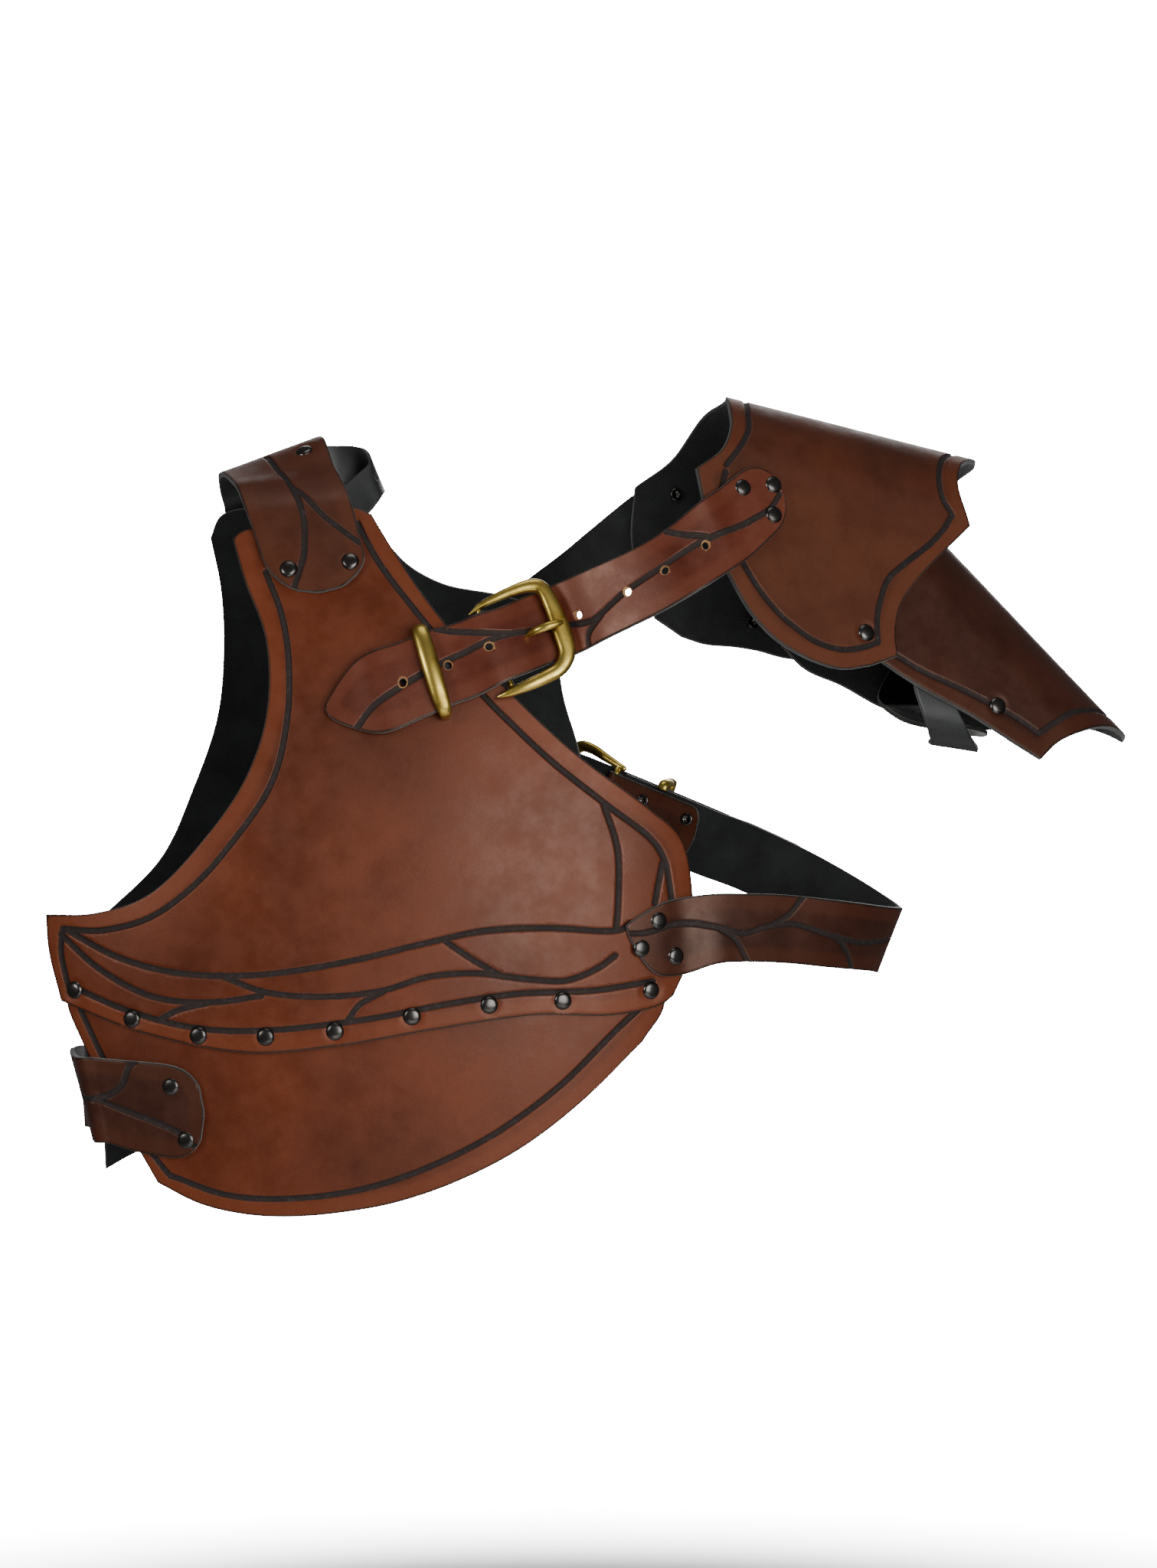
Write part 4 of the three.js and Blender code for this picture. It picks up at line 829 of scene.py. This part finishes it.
def lifted(stations, lift):
    def station(k):
        def points(share):
            along = stations[min(k + 1, len(stations) - 1)](share) - stations[max(k - 1, 0)](share)
            over = stations[k](np.minimum(share + 0.1, 1)) - stations[k](np.maximum(share - 0.1, 0))
            return stations[k](share) - unit(np.cross(along, over)) * lift
        return points
    return [station(k) for k in range(len(stations))]


SIDE_BACK = StrapForm(on_surface(back, [
    (101, -137, 111, -172, ON_PLATE),
    (120, -141, 131, -176, ON_PLATE + 0.2),
    (140, -146, 151, -181, ON_PLATE + 1),
]) + side_rows(BELT / 2, [
    (-36, 4.2), (-27, 4.6), (-17, 5.2), (-7, 6.4), (5, 7), (30, 7), (50, 6.8), (66, 5.6),
])
    + lifted(side_stations, LEATHER + 2 * LAYER_GAP)[-6:-4][::-1], 1, BELT)
LOW = StrapForm(on_surface(front, [
    (-29, -331, -28, -378, 0),
    (-45, -328.5, -42, -379, 0),
    (-60, -327, -56, -377.5, 0),
    (-75, -326, -69, -375, 0.3),
    (-87, -325, -79, -372, 1),
    (-96, -324.5, -86, -371, 1.6),
]) + in_space([
    (-102, -54, -323, -90, -52, -368),
    (-104, -28, -322, -93, -26, -368),
    (-105, 0, -323, -95, 2, -369),
    (-107, 30, -324, -99, 30, -370),
]) + on_surface(back, [
    (-104, -325, -101, -371, ON_PLATE + 1.6),
    (-94, -326, -91, -372, ON_PLATE + 1),
    (-82, -327, -79, -373, ON_PLATE + 0.2),
    (-68, -327.5, -67, -373.5, ON_PLATE),
    (-54, -328, -55, -374, ON_PLATE),
]), 1, 47)
NECK = StrapForm(on_surface(back, [
    (109, -90, 127, -114, ON_PLATE),
    (122, -80, 140, -104, ON_PLATE),
    (133, -71.5, 151, -95, ON_PLATE),
    (144, -63, 162, -87, ON_PLATE + 0.5),
]) + in_space([
    (160, 51, -50, 177, 56, -75),
    (174, 33, -39, 190, 36, -66),
    (187, 15, -29, 203, 16, -56),
]) + on_surface(UPPER.surface, [
    (-36, 76, -15, 98, HALF + LAYER_GAP + 1.6),
    (-26, 66, -4, 86, HALF + LAYER_GAP + 0.7),
    (-16, 54, 6, 76, HALF + LAYER_GAP + 0.4),
    (-6, 44, 14, 66, HALF + LAYER_GAP + 0.4),
]), 1, 30)
TAIL = StrapForm(in_space([
    (4, -3, -1.8, 8, -33, -9.4),
    (20, -3, 4.6, 21, -33, -6),
    (30, 3, 7.4, 31, -27, -2),
    (38, 12, 9, 38.5, -12, -13),
    (46.5, 18, 10.2, 49, 14, -19.5),
    (53, 14.5, 9, 59.5, 11, -19),
    (56.5, 5, 4.5, 65, -4, -16.5),
    (55, -1.5, -1, 65, -16, -18),
    (50, -7, -6, 61.5, -24, -22.5),
    (43.5, -12, -12, 55, -29, -30),
    (36, -16, -18, 45, -33, -38),
]), -1, 30)
INSIDE_LAME = LOWER_RADIUS - HALF - LAYER_GAP - ARM_LEATHER


def under_arm(rows):
    """Stations in the lower lame's frame, each a row: rearward, then edge a's and edge b's along and down."""
    return [lambda share, r=row: LOWER.place(mix(r[1], r[3], share), r[0], mix(r[2], r[4], share))
            for row in rows]


ARM_LOOP = StrapForm(under_arm([
    (-INSIDE_LAME, 50, 76, 75.5, 65.5),
    (-INSIDE_LAME, 59.4, 90.8, 85, 80.3),
    (-38, 72.4, 97.4, 95.6, 83.3),
    (-33, 81.9, 99.1, 104.3, 82.5),
    (-24, 88.5, 96.5, 110.7, 78.2),
    (-12, 91.7, 90.6, 114.1, 72.2),
    (-3, 92.8, 85.8, 115.3, 67.4),
    (5, 92.5, 81.6, 115, 63.1),
]), 1, 28.3)
ARM_BACK = StrapForm(under_arm([
    (INSIDE_LAME - 0.6, 56, 50, 85, 38.1),
    (INSIDE_LAME - 1.8, 57.5, 59, 86.2, 46.8),
    (35, 60.7, 68.5, 87.4, 54.5),
    (27, 66.5, 73.9, 91.7, 58.2),
    (15, 74.9, 78.1, 98.9, 60.8),
    (3, 82.1, 79.6, 105.5, 61.4),
    (-10, 87.9, 80.3, 111, 61.9),
    (-20, 90.6, 79.5, 113, 61.1),
]), -1, 30)

MIDDLE_BAR = ON_PLATE + THIN_LEATHER + 2.2
FOLD_RADIUS = 1.8 + LAYER_GAP
QUARTER_TURNS = [math.radians(turn) for turn in (-90, -45, 0, 45, 90)]
TAB_EYE = np.array((125.5, -105))
TAB_WAY = np.array((-0.92, -0.4))
TAB_HALF = np.array((7.2, -16.6))
UNDER_FOLD = ON_PLATE + THIN_LEATHER


def tab_row(distance, lift):
    middle = TAB_EYE + TAB_WAY * distance
    return *(middle - TAB_HALF), *(middle + TAB_HALF), lift


CHEST_TAB = StrapForm(on_surface(front, [
    *(tab_row(distance, UNDER_FOLD) for distance in (52, 34, 18)),
    *(tab_row(-FOLD_RADIUS * math.cos(turn), MIDDLE_BAR + FOLD_RADIUS * math.sin(turn))
      for turn in QUARTER_TURNS),
    *(tab_row(distance, UNDER_FOLD + SEAM_GAP) for distance in (18, 34)),
]), 1, 36.2)
HINGE_ALONG, HINGE = -7, 1.8
OVER_SIDE = LEATHER + SEAM_GAP
SIDE_TAB = StrapForm(side_rows(BELT / 2 - 2, [
    *((along, -SEAM_GAP) for along in (50, 25, 1)),
    *((HINGE_ALONG - FOLD_RADIUS * math.cos(turn), HINGE + FOLD_RADIUS * math.sin(turn))
      for turn in QUARTER_TURNS),
    *((along, OVER_SIDE) for along in (1, 25, 50)),
]), 1, BELT - 4)

CHEST_LINES = [
    [(13.5, 17), (25.7, 6), (42, 1.4), (65, -1.6), (81, -3.4), (107, -3.5), (125, 0.9), (139, 3)],
    [(139, 3), (157, 6.9), (164, 5.3), (180, 0.5), (198, -2.1), (220, -2.6), (244, 1.2), (262, 5), (275, 6.5),
     (285, 3)],
    [(70, -18.4), (85, -12.8), (97, -7.4), (107.4, -3.7)],
    [(214, -17.5), (223, -9.2), (232, -2.4)],
    [(149, 18), (151, 13), (163, 6)],
]
SHOULDER_LINES = [
    [(112.7, -3.6), (90, -2), (66.8, 0.1), (50, 1.1), (38, -0.3), (22.6, -4.5), (12, -10), (1, -16)],
    [(66.8, 0.1), (52, 7.3), (42.4, 12.6), (33, 21), (27, 27)],
]
SIDE_LINES = [
    [(3, 5), (7.5, 0.5), (23.7, -6.3), (39.5, -5.7), (53, -1.5), (69.5, 2.9), (86, -1), (101, -3.1),
    (125, 0.7),
     (150, 3), (176, 0)],
    [(88, -1.5), (98.5, -8.4), (106, -18.5)],
    [(57, 0.5), (66, 6.7), (74, 18.5)],
    [(131, 1.5), (141, 9), (150, 18.5)],
]
LOW_LINES = [
    [(36, -23), (38.9, -21), (44, -11.5), (52, -4.8), (61, -1.4), (75, 0)],
    [(61.4, -0.6), (42.8, 2.9), (28, 6), (15, 10), (6, 17)],
]
ARM_HOLES = [(43, 0), (53, 0), (63, 0)]
CHEST_HOLES = [(43.7, -0.3), (69.8, 0.2), (93.9, -1.1), (150.2, 1.0), (181, 1.1), (204, 0.1), (229.3, 1.1)]

# name, form, width, spacing, end roundings, leather, finish, slot, lines, rivet dents, holes, hole radius
straps = [
    ("shoulder_strap", SHOULDER, 55, 2.0, ((26, 2.4), (24, 2.4)), LEATHER, BROAD_STRAP_BROWN,
    "chestnut_leather",
     SHOULDER_LINES, [(13.4, -14.7), (15.2, 19.1), (104.5, 16)], (), 0),
    ("chest_strap", CHEST, 38, 1.25, ((30, 1.9), (20, 2.2)), LEATHER, STRAP_CHESTNUT, "chestnut_leather",
     CHEST_LINES, (), CHEST_HOLES, 2.1),
    ("side_strap_left", SIDE, 37.5, 1.9, ((26, 2.0), (0, 1)), LEATHER, DARK_BROWN, "dark_brown_leather",
    SIDE_LINES,
     (), (), 0),
    ("side_strap_back", SIDE_BACK, 37.5, 2.5, ((20, 2.2), (9, 2.4)), LEATHER, BLACK_GRAIN,
    "black_leather", (), (),
     (), 0),
    ("side_strap_right", LOW, 46.5, 2.0, ((22, 2.8), (18, 2.8)), LEATHER, DARK_BROWN, "dark_brown_leather",
     LOW_LINES, (), (), 0),
    ("neck_strap", NECK, 29.5, 2.0, ((12, 2.2), (12, 2.2)), LEATHER, BLACK_GRAIN, "black_leather", (), (),
    (), 0),
    ("shoulder_tail", TAIL, 29.5, 1.25, ((0, 1), (11, 2.4)), 2.2, BLACK_SUEDE, "black_leather", (), (),
     [(81, 1), (93, 0)], 1.9),
    ("arm_loop", ARM_LOOP, 28, 2.0, ((0, 1), (0, 1)), ARM_LEATHER, BLACK_GRAIN, "black_leather", (), (),
    (), 0),
    # The arm strap: black leather with a painted pale grey reflection on its lower part
    ("arm_strap", ARM_BACK, 30.5, 1.25, ((0, 1), (10, 2.2)), ARM_LEATHER, BLACK_WITH_PAINTED_REFLECTION, "black_leather",
    (), (),
     ARM_HOLES, 1.4),
    ("chest_buckle_tab", CHEST_TAB, 36, 2.0, ((10, 2.2), (10, 2.2)), THIN_LEATHER, BLACK_GRAIN,
    "black_leather", (),
     (), (), 0),
    ("side_buckle_tab", SIDE_TAB, BELT - 4.4, 1.5, ((8, 2.4), (8, 2.4)), THIN_LEATHER, DARK_BROWN,
     "dark_brown_leather", (), (), (), 0),
]
for name, form, width, spacing, ends, thickness, finish, slot, lines, dents, holes, radius in straps:
    blank = strap_blank(form.length, width, spacing, ends)
    punch(blank, holes, radius)
    cut_and_hang(name, blank, form.surface, 0, thickness, finish, slot, lines, dents, holes)


# Metal

def joined_to(bm, other):
    """Adds another piece's faces to a bmesh."""
    mesh = bpy.data.meshes.new("part")
    other.to_mesh(mesh)
    other.free()
    bm.from_mesh(mesh)
    bpy.data.meshes.remove(mesh)


def metal_piece(name, bm, finish, replaces):
    for face in bm.faces:
        face.smooth = True
    mesh = bpy.data.meshes.new(name)
    bm.to_mesh(mesh)
    bm.free()
    mesh.materials.append(finish)
    piece = bpy.data.objects.new(name, mesh)
    bpy.context.scene.collection.objects.link(piece)
    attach(piece, "root")
    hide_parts(*replaces)
    return piece


CAP_RADIUS = 4.9


def rivet(grip, dome=1.6):
    """A domed cap with a rolled rim, its shank and the flared ring of its inner end, all in millimetres."""
    under = -grip - 0.1
    profile = [
        (0, dome), (1.6, dome * 0.97), (3.0, dome * 0.86), (3.9, dome * 0.66), (4.45, dome * 0.38),
        (4.75, 0.12),
        (CAP_RADIUS, -0.15), (4.7, -0.4), (4.1, -0.42), (1.7, -0.4), (1.6, under), (3.0, under - 0.05),
        (3.6, under - 0.45), (3.3, under - 0.95), (2.4, under - 1.1), (1.5, under - 0.8), (1.2, under - 0.2),
        (0, under),
    ]
    bm = bmesh.new()
    verts = [bm.verts.new((radius, 0, height)) for radius, height in profile]
    edges = [bm.edges.new(pair) for pair in zip(verts, verts[1:])]
    bmesh.ops.spin(bm, geom=verts + edges, cent=(0, 0, 0), axis=(0, 0, 1), angle=2 * math.pi, steps=22,
                   use_merge=True)
    bmesh.ops.remove_doubles(bm, verts=bm.verts[:], dist=0.001)
    bmesh.ops.recalc_face_normals(bm, faces=bm.faces[:])
    return bm


def set_in_place(bm, point, direction):
    turn = Vector((0, 0, 1)).rotation_difference(Vector(direction)).to_matrix().to_4x4()
    place = Matrix.Scale(MM, 4) @ Matrix.Translation(Vector(point)) @ turn
    bmesh.ops.transform(bm, matrix=place, verts=bm.verts[:])


SINK = 0.35
for prefix, (surface, lift, grip, places) in RIVETS.items():
    row = bmesh.new()
    for first, second in places:
        point = surface(first, second, lift)
        direction = surface(first, second, lift + 1) - point
        one = rivet(grip - SINK)
        set_in_place(one, point - direction * SINK, direction)
        joined_to(row, one)
    metal_piece(prefix + "s", row, RIVET_METAL,
                [f"{prefix}_{k + 1}" for k in range(len(places))])

CREST_PLACE, CREST_SHARE = 7.35, 0.77
crest_seat = [SHOULDER.base(np.array(CREST_PLACE + step), np.array(CREST_SHARE + over))
              for step, over in ((0, 0), (0.1, 0), (0, 0.1))]
crest_normal = unit(np.cross(crest_seat[2] - crest_seat[0], crest_seat[1] - crest_seat[0]))
crest = rivet(10.5 - SINK)
set_in_place(crest, crest_seat[0] + crest_normal * (LEATHER - SINK), crest_normal)
metal_piece("crest_rivet", crest, RIVET_METAL, ["crest_rivet_1"])
tab_rivets = bmesh.new()
for along in (14, 42):
    one = rivet(6.8, dome=0.9)
    set_in_place(one, side_place(along, -8.5, 5.0), BUCKLE_OUT)
    joined_to(tab_rivets, one)
metal_piece("side_tab_rivets", tab_rivets, RIVET_METAL,
            ["side_tab_rivet_1", "side_tab_rivet_2"])


def cast_bar(points, normals, halves, sides=20, steps=5, squareness=2.4):
    """A bar cast along a smooth line, with an oval section that changes along it."""
    rows = np.hstack([np.array(points, float), np.array(normals, float), np.array(halves, float)])
    places = np.arange(len(rows))
    fine = np.linspace(0, len(rows) - 1, (len(rows) - 1) * steps + 1)
    padded = np.vstack([2 * rows[0] - rows[1], rows, 2 * rows[-1] - rows[-2]])
    k = np.clip(np.floor(fine).astype(int), 0, len(rows) - 2)
    u = (fine - k)[:, None]
    p0, p1, p2, p3 = (padded[k + n] for n in range(4))
    fine_rows = p1 + 0.5 * u * (p2 - p0 + u * (2 * p0 - 5 * p1 + 4 * p2 - p3 + u * (3 * (p1 - p2) + p3 - p0)))
    bm = bmesh.new()
    ring = bmesh.ops.create_circle(bm, segments=sides, radius=1, cap_ends=True)["verts"]
    turns = [math.atan2(vert.co.y, vert.co.x) for vert in ring]
    edges = list({edge for vert in ring for edge in vert.link_edges})
    for n, row in enumerate(fine_rows):
        ahead = unit(fine_rows[min(n + 1, len(fine_rows) - 1), :3] - fine_rows[max(n - 1, 0), :3])
        flat = unit(np.cross(ahead, row[3:6]))
        rise = np.cross(flat, ahead)
        if n > 0:
            grown = bmesh.ops.extrude_edge_only(bm, edges=edges)["geom"]
            old = ring
            ring = [next(e.other_vert(v) for e in v.link_edges if e.other_vert(v) in set(grown)) for v in old]
            edges = [e for e in grown
                     if isinstance(e, bmesh.types.BMEdge) and all(v in set(ring) for v in e.verts)]
        for vert, turn in zip(ring, turns):
            c, s = math.cos(turn), math.sin(turn)
            c, s = (math.copysign(abs(value) ** (2 / squareness), value) for value in (c, s))
            vert.co = (row[:3] + flat * row[6] * c + rise * row[7] * s) * MM
    bmesh.ops.contextual_create(bm, geom=edges)
    bmesh.ops.recalc_face_normals(bm, faces=bm.faces[:])
    return bm


def bar_on(surface, rows, **shape):
    """A bar over a plate: each row is across, up, lift, half width and half height."""
    rows = np.array(rows, float)
    points = surface(rows[:, 0], rows[:, 1], rows[:, 2])
    normals = surface(rows[:, 0], rows[:, 1], rows[:, 2] + 1) - points
    return cast_bar(points, normals, rows[:, 3:], **shape)


def side_bar(rows, **shape):
    """A bar at the side buckle: each row is along, across, out, half width and half height."""
    rows = np.array(rows, float)
    points = side_place(rows[:, 0], rows[:, 1], rows[:, 2])
    return cast_bar(points, np.tile(BUCKLE_OUT, (len(rows), 1)), rows[:, 3:], **shape)


chest_buckle = bar_on(front, [
    (112.5, -89.5, 8, 0.5, 0.5), (116.5, -86.3, 8.8, 1.4, 1.3), (121, -83.5, 9.5, 2.0, 2.0),
    (132.8, -78.4, 11, 2.8, 2.8),
    (144, -75, 12.2, 3.6, 3.0), (150.5, -76.5, 12.6, 3.9, 3.0), (156, -86, 12.8, 4.6, 2.9),
    (160.5, -98, 12.8, 5.2, 2.8),
    (163.5, -110, 12.8, 4.7, 2.9), (160, -118.5, 12.6, 4.0, 3.0), (152, -123.5, 12.2, 3.6, 3.0),
    (142, -128, 11, 3.1, 2.8), (134, -131, 9.5, 2.3, 2.0), (130.5, -132.2, 8.8, 1.4, 1.3),
    (127.5, -133, 8, 0.5, 0.5),
], sides=24, steps=6)
joined_to(chest_buckle, bar_on(front, [
    (117.6, -86.6, MIDDLE_BAR + 0.8, 1.5, 1.5), (118.6, -89, MIDDLE_BAR, 1.8, 1.8),
    (132.6, -121.2, MIDDLE_BAR, 1.8, 1.8), (135.2, -127.4, MIDDLE_BAR + 0.8, 1.5, 1.5),
], squareness=2))
metal_piece("chest_buckle", chest_buckle, BRASS, ["chest_buckle"])
metal_piece("chest_prong", bar_on(front, [
    (130.8, -105, MIDDLE_BAR, 1.3, 1.2), (138, -102.5, MIDDLE_BAR - 0.4, 1.4, 1.3),
    (142.5, -101, MIDDLE_BAR + 1.2, 1.5, 1.4), (145, -100, MIDDLE_BAR + 5, 1.8, 1.6),
    (148, -99.2, MIDDLE_BAR + 8.4, 2.2, 1.8), (152.5, -97.8, MIDDLE_BAR + 10.4, 2.4, 1.8),
    (157, -96.4, MIDDLE_BAR + 10.6, 2.2, 1.7), (160.5, -95.4, MIDDLE_BAR + 10.2, 1.0, 0.9),
], squareness=2), BRASS, ["chest_prong"])
metal_piece("chest_keeper", bar_on(front, [
    (85.5, -96.1, ON_PLATE + 1.2, 2.6, 1.2), (85.9, -97, ON_PLATE + 8, 3.6, 1.6),
    (88, -103, ON_PLATE + 10.8, 4.6, 2.2), (92.7, -119, ON_PLATE + 11.6, 5.0, 2.7),
    (97.6, -134.4, ON_PLATE + 10.8, 4.6, 2.2), (100.4, -142.2, ON_PLATE + 8, 3.6, 1.6),
    (100.8, -143.4, ON_PLATE + 1.2, 2.6, 1.2),
], squareness=2), BRASS, ["chest_keeper"])
FAR_ALONG, FAR_OUT = -38, 10.7
buckle_arm = [(-2.6, -20.6, 1.4, 0.8, 0.8), (-4, -20.8, 1.8, 1.6, 1.6), (-9, -21.3, 3, 2.1, 2),
              (-18, -22.3, 5.8, 2.6, 2.3),
              (-27, -23.4, 8.6, 3, 2.4), (-34.5, -22, 10.2, 3.4, 2.4), (FAR_ALONG, -15, FAR_OUT, 3.7, 2.4)]
other_arm = [(along, -across, *rest) for along, across, *rest in buckle_arm[::-1]]
side_buckle = side_bar([*buckle_arm, (FAR_ALONG - 0.4, 0, FAR_OUT, 3.8, 2.4), *other_arm])
joined_to(side_buckle, side_bar([(HINGE_ALONG, -21, HINGE, 1.8, 1.8), (HINGE_ALONG, 21, HINGE, 1.8, 1.8)],
                                squareness=2))
metal_piece("side_buckle", side_buckle, BRASS, ["side_buckle"])
KEEPER_ALONG = 22.5
metal_piece("side_keeper", side_bar([(KEEPER_ALONG, *row) for row in (
    (-18.9, -3.4, 3, 1.8), (-21.8, -1.6, 3.1, 2), (-22.5, 2, 3.1, 2.2), (-22.5, 9, 3.2, 2.2),
    (-19, 13.3, 3.3, 2.2),
    (19, 13.3, 3.3, 2.2), (22.5, 9, 3.2, 2.2), (22.5, 2, 3.1, 2.2), (21.8, -1.6, 3.1, 2),
    (18.9, -3.4, 3, 1.8),
)], squareness=2), BRASS, ["side_keeper"])
metal_piece("side_prong", side_bar([
    (-12.5, 0, HINGE, 1.3, 1.2), (-19, 0, 2, 1.4, 1.3), (-23, 0, 4.5, 1.5, 1.4), (-26, 0, 9, 1.6, 1.5),
    (-31, 0, 13.8, 1.6, 1.5), (FAR_ALONG, 0, 15.3, 1.7, 1.5), (-42, 0, 14.6, 1.2, 1.1),
], squareness=2), BRASS, ["side_prong"])

# Stage: a pale floor that fades out at its rim, and soft light
FLOOR_LEVEL = -0.66
FLOOR_RADIUS = 0.8
FLOOR_MIDDLE = (0.172, 0)
floor_bm = bmesh.new()
bmesh.ops.create_circle(floor_bm, segments=96, radius=FLOOR_RADIUS, cap_ends=True)
bmesh.ops.translate(floor_bm, vec=(*FLOOR_MIDDLE, FLOOR_LEVEL), verts=floor_bm.verts[:])
floor_mesh = bpy.data.meshes.new("floor")
floor_bm.to_mesh(floor_mesh)
floor_bm.free()
floor = bpy.data.objects.new("floor", floor_mesh)
bpy.context.scene.collection.objects.link(floor)
paper, paper_tree, paper_shader = new_material("pale_floor_paper")
paper_shader.inputs["Base Color"].default_value = linear("#f2f2f2")
paper_shader.inputs["Roughness"].default_value = 0.9
paper_place = add_node(paper_tree, "ShaderNodeTexCoord").outputs["Object"]
from_middle = add_node(paper_tree, "ShaderNodeVectorMath", (paper_place, (*FLOOR_MIDDLE, FLOOR_LEVEL)),
                       operation="DISTANCE").outputs["Value"]
fade = add_node(paper_tree, "ShaderNodeMapRange", (from_middle, 0.3, FLOOR_RADIUS, 1.0, 0.0),
                interpolation_type=SMOOTH)
paper_tree.links.new(fade.outputs[0], paper_shader.inputs["Alpha"])
floor_mesh.materials.append(paper)

world = bpy.data.worlds.new("studio")
bpy.context.scene.world = world
world.use_nodes = True
world_tree = world.node_tree
background = world_tree.nodes["Background"]
background.inputs["Color"].default_value = (1, 1, 1, 1)
background.inputs["Strength"].default_value = 0.12
seen = add_node(world_tree, "ShaderNodeBackground", {"Color": (1, 1, 1, 1), "Strength": 24.0})
camera_ray = add_node(world_tree, "ShaderNodeLightPath").outputs["Is Camera Ray"]
mixed = add_node(world_tree, "ShaderNodeMixShader", (camera_ray, background.outputs[0], seen.outputs[0]))
world_tree.links.new(mixed.outputs[0], world_tree.nodes["World Output"].inputs["Surface"])


def soft_box(name, place, aim, size, watts):
    data = bpy.data.lights.new(name, "AREA")
    data.shape, data.size, data.energy = "SQUARE", size, watts
    light = bpy.data.objects.new(name, data)
    light.location = place
    light.rotation_euler = (Vector(aim) - Vector(place)).to_track_quat("-Z", "Y").to_euler()
    bpy.context.scene.collection.objects.link(light)


soft_box("key_box", (1.15, -2.3, -0.05), (0.1, 0, -0.2), 1.5, 48)
soft_box("left_box", (-1.6, -1.7, 0.35), (0.1, 0, -0.2), 0.8, 18)
soft_box("top_box", (0.2, -0.5, 1.9), (0.1, 0, -0.1), 1.2, 10)
soft_box("back_box", (0.4, 2.6, 0.9), (0.1, 0, -0.2), 1.6, 30)
soft_box("floor_bounce", (0.35, -1.0, -1.5), (0.15, 0, -0.2), 1.4, 14)
